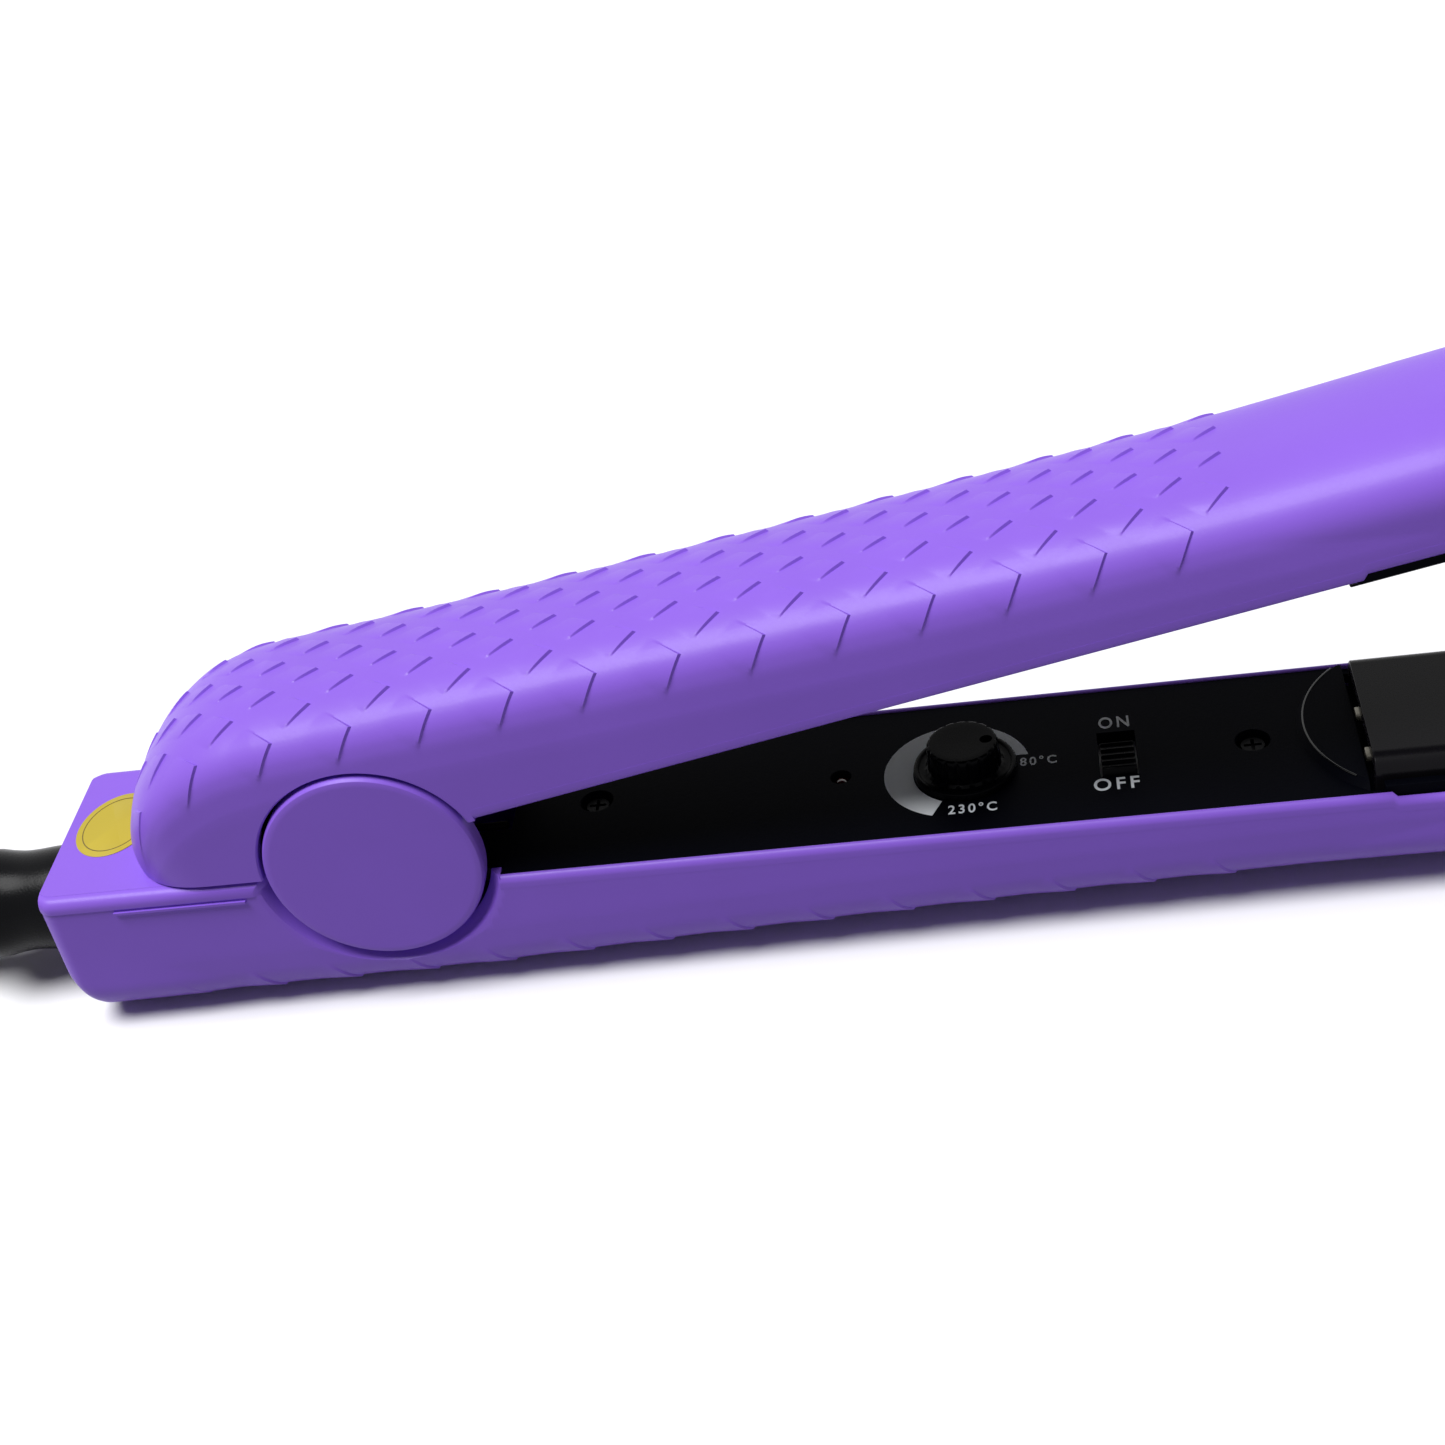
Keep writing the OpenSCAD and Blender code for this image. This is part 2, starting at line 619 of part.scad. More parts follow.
module potentiometer_shaft() color(steel) lower_frame() translate([knob_x, dial_y, shaft_end + part_gap])
    cylinder(r = shaft_r, h = shaft_top - shaft_end - part_gap);

module temperature_knob() color(black) lower_frame() translate([knob_x, dial_y, 0]) difference() {
    union() {
        translate([0, 0, part_gap]) cylinder(r = knob_r, h = knob_skirt_h);
        translate([0, 0, part_gap + knob_skirt_h])
            cylinder(r1 = knob_r - 1, r2 = knob_top_r, h = knob_h - part_gap - knob_skirt_h);
    }
    for (a = [0:360 / knob_flutes:359]) rotate(a) translate([knob_top_r + 0.9, 0, part_gap + knob_skirt_h])
        cylinder(r = 0.6, h = far, $fn = 16);
    rotate(dial_angle) translate([knob_top_r - 1.6, 0, knob_h - 0.3]) cylinder(r = 0.8, h = 1);
    cylinder(r = shaft_r, h = shaft_top);
}

module switch_body() color("dimgray") lower_frame() difference() {
    translate([switch_x - switch_body_w / 2, window_y0 - 3, board_z])
        cube([switch_body_w, window_y1 - window_y0 + 6, -panel_t - board_z]);
    translate([switch_x - stem_w / 2 - part_gap, window_y0, -panel_t - stem_d - part_gap])
        cube([stem_w + 2 * part_gap, window_y1 - window_y0, far]);
}

module switch_slider() color(black) lower_frame() translate([switch_x, window_y0 + part_gap, 0]) {
    difference() {
        translate([part_gap - window_w / 2, 0, part_gap - panel_t])
            cube([window_w - 2 * part_gap, slider_l, panel_t - part_gap + slider_h]);
        for (i = [1:3]) translate([-window_w, i * slider_l / 4 - 0.25, slider_h - 0.4])
            cube([2 * window_w, 0.5, 1]);
    }
    translate([-stem_w / 2, slider_l / 2 - stem_w / 2, -panel_t - stem_d])
        cube([stem_w, stem_w, stem_d + 1]);
}

module power_led() color("darkred") lower_frame() translate([led_x, led_y, board_z]) {
    cylinder(r = led_r, h = -led_d - led_r - board_z);
    translate([0, 0, -led_d - led_r - board_z]) sphere(r = led_r);
}

module heater_leads() color("red") lower_frame() for (s = [-1, 1]) translate([0, s * lead_y, 0]) {
    translate([board_x1 - 4, 0, board_z + lead_r]) rotate([0, 90, 0])
        cylinder(r = lead_r, h = lead_up_x - board_x1 + 4);
    translate([lead_up_x, 0, board_z + lead_r]) {
        sphere(r = lead_r);
        cylinder(r = lead_r, h = -frame_floor - board_z + lead_over);
    }
}

// ---------- cord ----------

module strain_relief() color(black) lower_frame() translate([-rear_len, 0, -swivel_d])
    rotate([0, -90, 0]) rotate_extrude() polygon([[0, -end_wall - flange_t], [boot_r, -end_wall - flange_t],
        [boot_r, -end_wall - part_gap], [neck_r, -end_wall - part_gap], [neck_r, part_gap],
        [boot_r + 0.4, part_gap], [boot_r + 0.3, 3], [boot_r, 7], [boot_r + 0.2, 12], [boot_r - 0.2, 16],
        [cord_d / 2 + 2.2, 20], [cord_d / 2 + 0.9, boot_len], [0, boot_len]]);

function unit(v) = v / norm(v);
function heading(p, i) = unit(p[min(i + 1, len(p) - 1)] - p[max(i - 1, 0)]);
function path_len(p) = let (d = [for (i = [1:len(p) - 1]) norm(p[i] - p[i - 1])]) d * [for (x = d) 1];

module tube(p, r, sides) loft([for (i = [0:len(p) - 1])
    let (t = heading(p, i), s = unit(cross([0, 0, 1], t)), u = cross(t, s))
    [for (k = [0:sides - 1]) p[i] + r * (cos(360 * k / sides) * s + sin(360 * k / sides) * u)]]);

module cord_lead() color(black) tube(lead_route, cord_d / 2, 10);
module cord_tail() color(black) tube(tail_route, cord_d / 2, 10);
module cord_hank() color(black) tube(hank_route, cord_d / 2, 6);

// A strap round both runs at the waist, grown by t on every side of the cords
module strap(t, w) {
    side = cord_d / 2 - waist_in * (1 + cos(180 * tie_w / hank_run)) / 2 + tie_gap + t;
    y0 = -fold_in - layer_h - side;
    y1 = fold_in + layer_h * turns_up + side;
    z0 = -cord_d / 2 - tie_gap - t;
    z1 = layer_h * (hank_layers - 1) + cord_d / 2 + tie_gap + t;
    translate([-w / 2, y0, z0]) cube([w, y1 - y0, z1 - z0]);
}

module cord_tie() color("dimgray") translate(hank_at) difference() {
    strap(tie_t, tie_w);
    strap(0, 2 * tie_w);
}

module plug_body() color(black) translate(plug_at - [0, 0, plug_t / 2]) linear_extrude(plug_t)
    polygon([for (s = [[1, 0], [-1, 0]], p = s[0] > 0 ? plug_side : [for (i = [6:-1:0]) plug_side[i]])
        [p[0], s[0] * p[1]]]);

module plug_pins() color(steel) for (s = [-1, 1])
    translate(plug_at + [plug_l, s * pin_space / 2, 0]) rotate([0, 90, 0])
        cylinder(r = plug_pin_r, h = plug_pin_l);

lower_shell();
rear_cover();
control_panel();
lower_plate_frame();
circuit_board();
potentiometer();
switch_body();
power_led();
panel_screws();
hinge_pin();
torsion_spring();
near_disc_cap();
far_disc_cap();
round_label();
lower_plate_pads();
heater_leads();
lower_heater_plate();
lower_heater_element();
upper_shell();
upper_inner_cover();
tail_cover();
upper_plate_frame();
cover_screws();
upper_plate_pads();
upper_heater_plate();
upper_heater_element();
temperature_knob();
potentiometer_shaft();
switch_slider();
strain_relief();
cord_lead();
cord_hank();
cord_tail();
cord_tie();
plug_body();
plug_pins();
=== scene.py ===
import bpy
import bmesh
import math

from mathutils import Matrix, Vector


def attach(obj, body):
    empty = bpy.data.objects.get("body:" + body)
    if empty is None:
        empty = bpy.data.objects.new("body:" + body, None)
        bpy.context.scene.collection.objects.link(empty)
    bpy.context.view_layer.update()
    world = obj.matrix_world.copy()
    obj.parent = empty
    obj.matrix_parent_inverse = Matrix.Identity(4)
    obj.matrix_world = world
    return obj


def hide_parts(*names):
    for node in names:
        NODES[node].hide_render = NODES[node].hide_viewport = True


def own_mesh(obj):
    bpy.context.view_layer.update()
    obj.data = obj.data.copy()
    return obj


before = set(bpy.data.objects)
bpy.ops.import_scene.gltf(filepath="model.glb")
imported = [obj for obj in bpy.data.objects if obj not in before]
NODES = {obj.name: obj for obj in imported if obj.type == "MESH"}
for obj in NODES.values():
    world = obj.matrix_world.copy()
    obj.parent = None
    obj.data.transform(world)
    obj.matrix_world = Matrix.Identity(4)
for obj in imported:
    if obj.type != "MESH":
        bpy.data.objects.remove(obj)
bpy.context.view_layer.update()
scene = bpy.context.scene

# ---------- frames and the arms' outlines, in millimetres, as in part.scad ----------

BODY_W = 31.0
HALF_W = BODY_W / 2
REAR_LEN = 50.0
FRONT_LEN = 236.0
BELLY_T = 20.0
REAR_T = 22.2
SLIM_T = 14.7
CROWN_H = 8.4
WALL = 2.0
LIP_H = 0.3
LIP_W = 1.1
HINGE_H = 4.4
ARM_GAP = 7.75
DISC_R = 15.4
CUT_R = 16.0
CAP_OUT = HALF_W + 0.5
EAR_OUT = HALF_W - 2.5
BLOCK_H = 3.4
COVER_T = 2.2
BLOCK_X1 = -15.8
BELLY_END = 12.0
SLIM_X = 150.0
TIP_FLAT_X = FRONT_LEN - 26
TIP_LEN = 16
TIP_START = FRONT_LEN - TIP_LEN
TAIL_X = -12.0
TAIL_LEN = 24.6
SWIVEL_D = 8.0
FAR = 400.0

OPEN = math.radians(11.1)
TILT = math.atan(4.8 / 220)
HINGE_Z = (BELLY_T + HINGE_H) * math.cos(TILT)
PIVOT = Vector((0, 0, HINGE_H))
MILLI = Matrix.Scale(0.001, 4)
# The lower arm's own frame and the upper arm's frame drawn closed, in the row's metres
LOWER = (MILLI @ Matrix.Translation((0, 0, HINGE_Z)) @ Matrix.Rotation(TILT, 4, "Y")
         @ Matrix.Translation(-PIVOT))
UPPER = LOWER @ Matrix.Translation(PIVOT) @ Matrix.Rotation(-OPEN, 4, "Y") @ Matrix.Translation(-PIVOT)
TWIN = Matrix.Translation((0, 0, ARM_GAP)) @ Matrix.Scale(-1, 4, (0, 0, 1))
# A turn of the closed upper frame that lays it over the lower arm's table frame
SHUT = Matrix.Translation(PIVOT) @ Matrix.Rotation(OPEN, 4, "Y") @ Matrix.Translation(-PIVOT)


def camera():
    """The photograph's camera, stated in the lower arm's frame."""
    right = Vector((0.9825244, 0.0680493, -0.1732482))
    down = Vector((-0.0998884, -0.5926264, -0.7992598))
    ahead = Vector((-0.1570608, 0.8025978, -0.5754725))
    turn = Matrix((right, -down, -ahead)).transposed()
    place = LOWER @ Matrix.Translation((99.466, -257.962, 196.562)) @ turn.to_4x4()
    where, spin, _ = place.decompose()
    data = bpy.data.cameras.new("camera")
    data.sensor_width = 36
    data.lens = 58.272
    data.clip_start = 0.01
    data.clip_end = 20
    cam = bpy.data.objects.new("camera", data)
    cam.matrix_world = Matrix.LocRotScale(where, spin, Vector((1, 1, 1)))
    scene.collection.objects.link(cam)
    scene.camera = cam


camera()


def rest_t(x):
    """The thickness that puts the lower arm's belly on the table."""
    return BELLY_T - x * math.tan(TILT)


def fall(x, x0, x1):
    """A slope from 1 at x0 to 0 at x1 that flattens out."""
    return (max(0.0, x1 - x) / (x1 - x0)) ** 1.6


def nose(d, length, p):
    """A rounded end: 1 before it, 0 where d reaches its length."""
    return 1.0 if d <= 0 else max(0.0, 1 - (d / length) ** p) ** (1 / p)


# Thickness (_t) of each arm, and its width as a share of the body's (_w)


def lower_t(x):
    if x < BELLY_END:
        t = rest_t(x)
    elif x < SLIM_X:
        t = SLIM_T + (rest_t(BELLY_END) - SLIM_T) * fall(x, BELLY_END, SLIM_X)
    elif x < TIP_FLAT_X:
        t = SLIM_T + (rest_t(TIP_FLAT_X) - SLIM_T) * (x - SLIM_X) / (TIP_FLAT_X - SLIM_X)
    else:
        t = rest_t(x)
    return t * nose(x - (FRONT_LEN - 9.6), 9.6, 2.4) * nose(4 - REAR_LEN - x, 7.5, 2)


def upper_t(x):
    return ((SLIM_T + (REAR_T - SLIM_T) * fall(max(x, -8.0), -8.0, SLIM_X))
            * nose(TAIL_X - x, TAIL_LEN, 2) * nose(x - TIP_START, TIP_LEN, 2.4))


def tip_plan(x):
    return nose(x - (FRONT_LEN - 13), 13, 2.4)


def lower_w(x):
    return tip_plan(x) * nose(-REAR_LEN + 2 - x, 6, 2)


def upper_w(x):
    return tip_plan(x) * nose(TAIL_X - TAIL_LEN + 13.5 - x, 13.6, 2.6)


# ---------- mesh helpers: a shape is its vertices and its faces ----------


def loft(rings, caps=True):
    """Joins rings of equally many points, and closes both ends with caps."""
    n = len(rings[0])
    verts = [p for r in rings for p in r]
    faces = []
    for i in range(len(rings) - 1):
        for j in range(n):
            k = (j + 1) % n
            faces.append((i * n + j, i * n + k, (i + 1) * n + k, (i + 1) * n + j))
    if caps:
        faces.append(tuple(reversed(range(n))))
        faces.append(tuple(range((len(rings) - 1) * n, len(rings) * n)))
    return verts, faces


def cuboid(lo, hi):
    return loft([[(x, lo[1], lo[2]), (x, hi[1], lo[2]), (x, hi[1], hi[2]), (x, lo[1], hi[2])]
                 for x in (lo[0], hi[0])])


def box(x0, x1, w, z0, z1):
    return cuboid((x0, -w, z0), (x1, w, z1))


def side_box(side, x0, x1, y0, y1, z0, z1):
    """A box on one side, y0 to y1 out from the middle."""
    ya, yb = sorted((side * y0, side * y1))
    return cuboid((x0, ya, z0), (x1, yb, z1))


def side_name(side):
    return "near" if side < 0 else "far"


def lathe(profile, place, steps=96):
    """Turns (radius, height) points about Z. A radius of 0 at an end closes it."""
    rings = []
    for r, h in profile:
        r = max(r, 1e-4)
        rings.append([place @ Vector((r * math.cos(2 * math.pi * k / steps),
                                      r * math.sin(2 * math.pi * k / steps), h)) for k in range(steps)])
    return loft(rings)


ALONG_Y = Matrix.Translation(PIVOT) @ Matrix.Rotation(-math.pi / 2, 4, "X")
HINGE_STEPS = 128


def hinge_cones(operation, r0, r1, out0, out1):
    """The same step of carve on both sides: cones about the hinge axis, of radius r0 at out0 and r1 at out1."""
    return [(operation, lathe([(r0, out0), (r1, out1)], ALONG_Y, HINGE_STEPS)),
            (operation, lathe([(r1, -out1), (r0, -out0)], ALONG_Y, HINGE_STEPS))]


def moved(shape, m):
    return [m @ Vector(v) for v in shape[0]], shape[1]


def to_object(name, shape):
    """An object of a shape, with its normals turned outwards."""
    verts, faces = shape
    m = bpy.data.meshes.new(name)
    m.from_pydata([tuple(v) for v in verts], [], faces)
    b = bmesh.new()
    b.from_mesh(m)
    bmesh.ops.recalc_face_normals(b, faces=b.faces)
    b.to_mesh(m)
    b.free()
    o = bpy.data.objects.new(name, m)
    scene.collection.objects.link(o)
    return o


def applied(o):
    """Puts the result of an object's modifiers in place of its mesh."""
    deps = bpy.context.evaluated_depsgraph_get()
    fresh = bpy.data.meshes.new_from_object(o.evaluated_get(deps))
    old = o.data
    o.modifiers.clear()
    o.data = fresh
    bpy.data.meshes.remove(old)


def carve(o, *steps):
    """Applies booleans in turn: each step is an operation and a closed shape."""
    for operation, shape in steps:
        cutter = to_object("cutter", shape)
        mod = o.modifiers.new("cut", "BOOLEAN")
        mod.operation = operation
        mod.object = cutter
        mod.solver = "MANIFOLD"
        applied(o)
        bpy.data.objects.remove(cutter)


MERGE_GAP = 0.002
FLAT_ANGLE = math.radians(2)
EDGE_ANGLE = math.radians(30)


def soften(o, width):
    """Rounds the sharp edges of a mesh, in millimetres before the frame is applied."""
    b = bmesh.new()
    b.from_mesh(o.data)
    bmesh.ops.remove_doubles(b, verts=b.verts, dist=MERGE_GAP)
    bmesh.ops.dissolve_limit(b, angle_limit=FLAT_ANGLE, verts=b.verts, edges=b.edges)
    b.to_mesh(o.data)
    b.free()
    mod = o.modifiers.new("soft", "BEVEL")
    mod.width = width
    mod.segments = 2
    mod.limit_method = "ANGLE"
    mod.angle_limit = EDGE_ANGLE
    mod.use_clamp_overlap = True
    applied(o)


def settle(o, m, body, slot, material, *nodes, angle=32, flat=False):
    """Puts a finished piece in the row's frame and ties it to its body. Edges sharper than angle stay sharp."""
    o.data.transform(m)
    if m.determinant() < 0:
        o.data.flip_normals()
    for p in o.data.polygons:
        p.use_smooth = True
    o.data.set_sharp_from_angle(angle=math.radians(angle))
    if flat:
        mod = o.modifiers.new("flat_faces", "WEIGHTED_NORMAL")
        mod.weight = 100
        mod.keep_sharp = True
    o.data.materials.clear()
    o.data.materials.append(material)
    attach(o, body)
    if nodes:
        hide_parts(*nodes)
    return o


# ---------- materials ----------

BROAD_SCALE = 45
ROUGH_SPREAD = 0.05
LEAST_ROUGH = 0.02
BUMP_DEPTH = 0.0001


def shader(name, color, rough, spread=0.0, grain=900.0, bump=0.0, metal=0.0, coat=0.0, spec=0.5, sheen=0.0):
    """A procedural material: base colour drifting between two tones, uneven roughness, fine bump."""
    m = bpy.data.materials.new(name)
    m.use_nodes = True
    tree = m.node_tree
    bsdf = tree.nodes["Principled BSDF"]
    bsdf.inputs["Metallic"].default_value = metal
    bsdf.inputs["Coat Weight"].default_value = coat
    bsdf.inputs["Coat Roughness"].default_value = 0.12
    bsdf.inputs["Specular IOR Level"].default_value = spec
    bsdf.inputs["Sheen Weight"].default_value = sheen
    where = tree.nodes.new("ShaderNodeTexCoord")
    broad = tree.nodes.new("ShaderNodeTexNoise")
    broad.inputs["Scale"].default_value = BROAD_SCALE
    broad.inputs["Detail"].default_value = 4
    fine = tree.nodes.new("ShaderNodeTexNoise")
    fine.inputs["Scale"].default_value = grain
    fine.inputs["Detail"].default_value = 3
    tree.links.new(where.outputs["Object"], broad.inputs["Vector"])
    tree.links.new(where.outputs["Object"], fine.inputs["Vector"])
    ramp = tree.nodes.new("ShaderNodeValToRGB")
    ramp.color_ramp.elements[0].position = 0.3
    ramp.color_ramp.elements[1].position = 0.7
    ramp.color_ramp.elements[0].color = (*[c * (1 - spread) for c in color], 1)
    ramp.color_ramp.elements[1].color = (*[min(1, c * (1 + spread)) for c in color], 1)
    tree.links.new(broad.outputs["Fac"], ramp.inputs["Fac"])
    tree.links.new(ramp.outputs["Color"], bsdf.inputs["Base Color"])
    span = tree.nodes.new("ShaderNodeMapRange")
    span.inputs["To Min"].default_value = max(LEAST_ROUGH, rough - ROUGH_SPREAD)
    span.inputs["To Max"].default_value = min(1.0, rough + ROUGH_SPREAD)
    tree.links.new(fine.outputs["Fac"], span.inputs["Value"])
    tree.links.new(span.outputs["Result"], bsdf.inputs["Roughness"])
    if bump:
        b = tree.nodes.new("ShaderNodeBump")
        b.inputs["Strength"].default_value = bump
        b.inputs["Distance"].default_value = BUMP_DEPTH
        tree.links.new(fine.outputs["Fac"], b.inputs["Height"])
        tree.links.new(b.outputs["Normal"], bsdf.inputs["Normal"])
    return m


PURPLE = shader("purple_plastic", (0.242, 0.11, 0.655), 0.4, spread=0.03, grain=2600, bump=0.12, coat=0.03, spec=0.22)
BLACK = shader("black_plastic", (0.001, 0.0012, 0.003), 0.5, spread=0.15, grain=3200, bump=0.2, spec=0.015)
KNOB = shader("knob_plastic", (0.0012, 0.0013, 0.0022), 0.26, spread=0.15, grain=2500, bump=0.08, spec=0.03)
GLOSS = shader("glossy_rim", (0.002, 0.002, 0.003), 0.22, spread=0.15, grain=2500, bump=0.03, spec=0.4)
SCREW = shader("blackened_steel", (0.003, 0.003, 0.0035), 0.5, spread=0.1, grain=1500, bump=0.1, metal=1.0)
PRINT = shader("grey_print", (0.88, 0.93, 1.0), 0.6, spread=0.1, grain=4200, bump=0.05)
STICKER = shader("yellow_sticker", (0.46, 0.36, 0.032), 0.42, spread=0.04, grain=2000, bump=0.03, spec=0.3)
STICKER_LINE = shader("sticker_line", (0.12, 0.085, 0.02), 0.5, spread=0.08, spec=0.3)
RUBBER = shader("black_rubber", (0.0012, 0.0013, 0.002), 0.26, spread=0.2, grain=3000, bump=0.2, spec=0.08)
SHEATH = shader("cord_sheath", (0.005, 0.005, 0.006), 0.46, spread=0.2, grain=1800, bump=0.15, spec=0.15)
STRAP = shader("strap_weave", (0.012, 0.012, 0.014), 0.8, spread=0.35, grain=2200, bump=0.7, sheen=0.1, spec=0.2)
CERAMIC_COAT = shader("ceramic_coat", (0.0055, 0.005, 0.0068), 0.28, spread=0.06, grain=2600, bump=0.05, spec=0.08)
BED = shader("cast_bed", (0.2, 0.19, 0.16), 0.45, spread=0.08, grain=1500, bump=0.2, metal=1.0)
STEEL = shader("plated_steel", (0.6, 0.6, 0.62), 0.3, spread=0.05, grain=1500, bump=0.1, metal=1.0)
NICKEL = shader("nickel", (0.75, 0.74, 0.72), 0.18, spread=0.03, grain=1200, metal=1.0)
LAMP = shader("lamp_lens", (0.09, 0.004, 0.004), 0.12, spread=0.2, coat=0.6)
GREY = shader("grey_plastic", (0.2, 0.2, 0.21), 0.5, spread=0.08, grain=2200, bump=0.15)
BOARD = shader("board", (0.02, 0.12, 0.05), 0.4, spread=0.25, grain=700, bump=0.1)
PADS = shader("silicone", (0.25, 0.25, 0.25), 0.6, spread=0.06, grain=1800, bump=0.1)
LEADS = shader("lead_sleeve", (0.4, 0.02, 0.02), 0.5, spread=0.08, grain=1800, bump=0.1)
WHITE_CERAMIC = shader("white_ceramic", (0.8, 0.8, 0.78), 0.45, spread=0.04, grain=1500, bump=0.1)

# CAD nodes that stay as they are and only get a material
for names, material in (
        (("hinge_pin", "potentiometer_shaft"), STEEL), (("torsion_spring", "panel_screws", "cover_screws"), SCREW),
        (("switch_body", "potentiometer"), GREY), (("circuit_board",), BOARD),
        (("lower_plate_pads", "upper_plate_pads"), PADS), (("heater_leads",), LEADS),
        (("lower_heater_element", "upper_heater_element"), WHITE_CERAMIC), (("tail_cover",), BLACK)):
    for name in names:
        node = NODES[name]
        node.data.materials.clear()
        node.data.materials.append(material)

# ---------- cord ----------

CORD_D = 6.2
CORD_LEN = 1800
LEAD = [(-90.4, 0, 14), (-96.6, 0, 14), (-102, 0.4, 13.7), (-107.4, 1.5, 12.9), (-112.8, 3.4, 11.3),
        (-118.2, 6.5, 8.9), (-123.6, 9.6, 6.5), (-129, 11.6, 4.9), (-134.4, 12.7, 4.1), (-139.8, 13.1, 3.8),
        (-146, 13.1, 3.8)]
TAIL = [(-6.2, 0, 0), (-14, 0.7, 1), (-22, 2.1, 3.4), (-32, 3.1, 6.3), (-41.3, 0.6, 6.8), (-48.1, -6.2, 7),
        (-50.6, -15.5, 7.4), (-48.1, -24.8, 7.9), (-41.3, -31.6, 8.5), (-32, -34.1, 9.2), (-24, -32.7, 9.9),
        (-18, -29.6, 10.3), (-11, -26.1, 10.6), (-4, -25.1, 10.7), (2.2, -25.1, 10.7)]
LOOPS = 6
LAYERS = 4
FOLD_IN = 17.9
WAIST_IN = 3.0
LAYER = CORD_D + 0.6
UP = LOOPS / LAYERS
RUN_PART = 2 / 24


def path_len(points):
    return sum((Vector(b) - Vector(a)).length for a, b in zip(points, points[1:]))


RUN = ((CORD_LEN - path_len(LEAD) - path_len([(0, 0, 0)] + TAIL)
        - 2 * math.pi * LOOPS * (FOLD_IN + LAYER * UP / 2)) / (2 * LOOPS + 0.5))
HANK_AT = Vector((LEAD[-1][0] - RUN / 2, -15.6, LEAD[-1][2]))


def hank_point(s):
    """The cord's middle after s loops of the hank: two straight runs, two folds, and a step up in each layer."""
    r = FOLD_IN + LAYER * (UP - s if s < 0 else abs(s % (2 * UP) - UP))
    u = s % 1.0
    flip = 1 if u < 0.5 else -1
    h = u % 0.5
    if h <= RUN_PART:
        x, y = -RUN / 2 * h / RUN_PART, r
    elif h < 0.5 - RUN_PART:
        a = math.pi * (h - RUN_PART) / (0.5 - 2 * RUN_PART)
        x, y = -RUN / 2 - r * math.sin(a), r * math.cos(a)
    else:
        x, y = RUN / 2 * (h - 0.5) / RUN_PART, -r
    x, y = flip * x, flip * y
    if abs(x) < RUN / 2:
        y -= math.copysign(WAIST_IN * (1 + math.cos(2 * math.pi * x / RUN)) / 2, y)
    z = sum(0.5 + math.sin(math.pi / 2 * max(-1.0, min(1.0, (s - k * UP) / RUN_PART))) / 2
            for k in range(1, LAYERS))
    return HANK_AT + Vector((x, y, LAYER * z))


def smoothed(points, parts):
    """A Catmull-Rom curve through given points, so that the cord bends evenly."""
    p = [Vector(q) for q in points]
    p = [2 * p[0] - p[1]] + p + [2 * p[-1] - p[-2]]
    out = []
    for i in range(1, len(p) - 2):
        a, b, c, d = p[i - 1:i + 3]
        for k in range(parts):
            t = k / parts
            out.append(0.5 * (2 * b + (c - a) * t + (2 * a - 5 * b + 4 * c - d) * t * t
                              + (3 * b - a - 3 * c + d) * t ** 3))
    return out + [p[-2]]


LOOP_STEPS = 48
HANK = [hank_point(k / LOOP_STEPS) for k in range(-3, LOOPS * LOOP_STEPS + 1)]
ROUTE = smoothed(LEAD, 3) + HANK + smoothed([HANK[-1]] + [HANK[-1] + Vector(p) for p in TAIL], 3)[1:]
PLUG_AT = ROUTE[-1]

data = bpy.data.curves.new("mains_cord", "CURVE")
data.dimensions = "3D"
line = data.splines.new("POLY")
line.points.add(len(ROUTE) - 1)
for point, p in zip(line.points, ROUTE):
    point.co = (p[0] / 1000, p[1] / 1000, p[2] / 1000, 1)
line.use_smooth = True
data.bevel_depth = CORD_D / 2000
data.bevel_resolution = 5
data.use_fill_caps = True
data.materials.append(SHEATH)
cord = bpy.data.objects.new("mains_cord", data)
scene.collection.objects.link(cord)
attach(cord, "lower_arm")
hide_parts("cord_lead", "cord_hank", "cord_tail")


def strap():
    """A hook-and-loop strap that runs round both runs at the waist."""
    gap = 0.2
    edge = CORD_D / 2 - WAIST_IN * (1 + math.cos(math.pi * 12 / RUN)) / 2 + gap
    y0, y1 = -FOLD_IN - LAYER - edge, FOLD_IN + LAYER * UP + edge
    z0, z1 = -CORD_D / 2 - gap, LAYER * (LAYERS - 1) + CORD_D / 2 + gap
    r = CORD_D / 2 + gap
    path = []
    for cy, cz, a0 in ((y1 - r, z1 - r, 0), (y0 + r, z1 - r, 90), (y0 + r, z0 + r, 180), (y1 - r, z0 + r, 270)):
        for k in range(9):
            a = math.radians(a0 + 90 * k / 8)
            path.append((cy, cz, math.cos(a), math.sin(a)))
    rings = []
    for cy, cz, c, s in path + path[:1]:
        rings.append([(x, cy + (r + t) * c, cz + (r + t) * s)
                      for x, t in ((-6, 0.08), (-5.7, 0.0), (5.7, 0.0), (6, 0.08), (6, 0.42), (5.7, 0.5),
                                   (-5.7, 0.5), (-6, 0.42))])
    verts, faces = loft(rings[:-1], caps=False)
    n = len(rings[0])
    last = len(rings) - 2
    for j in range(n):
        k = (j + 1) % n
        faces.append((last * n + j, last * n + k, k, j))
    return verts, faces


tie = settle(to_object("tie_strap", strap()), MILLI @ Matrix.Translation(HANK_AT), "lower_arm", "tie", STRAP,
             "cord_tie")


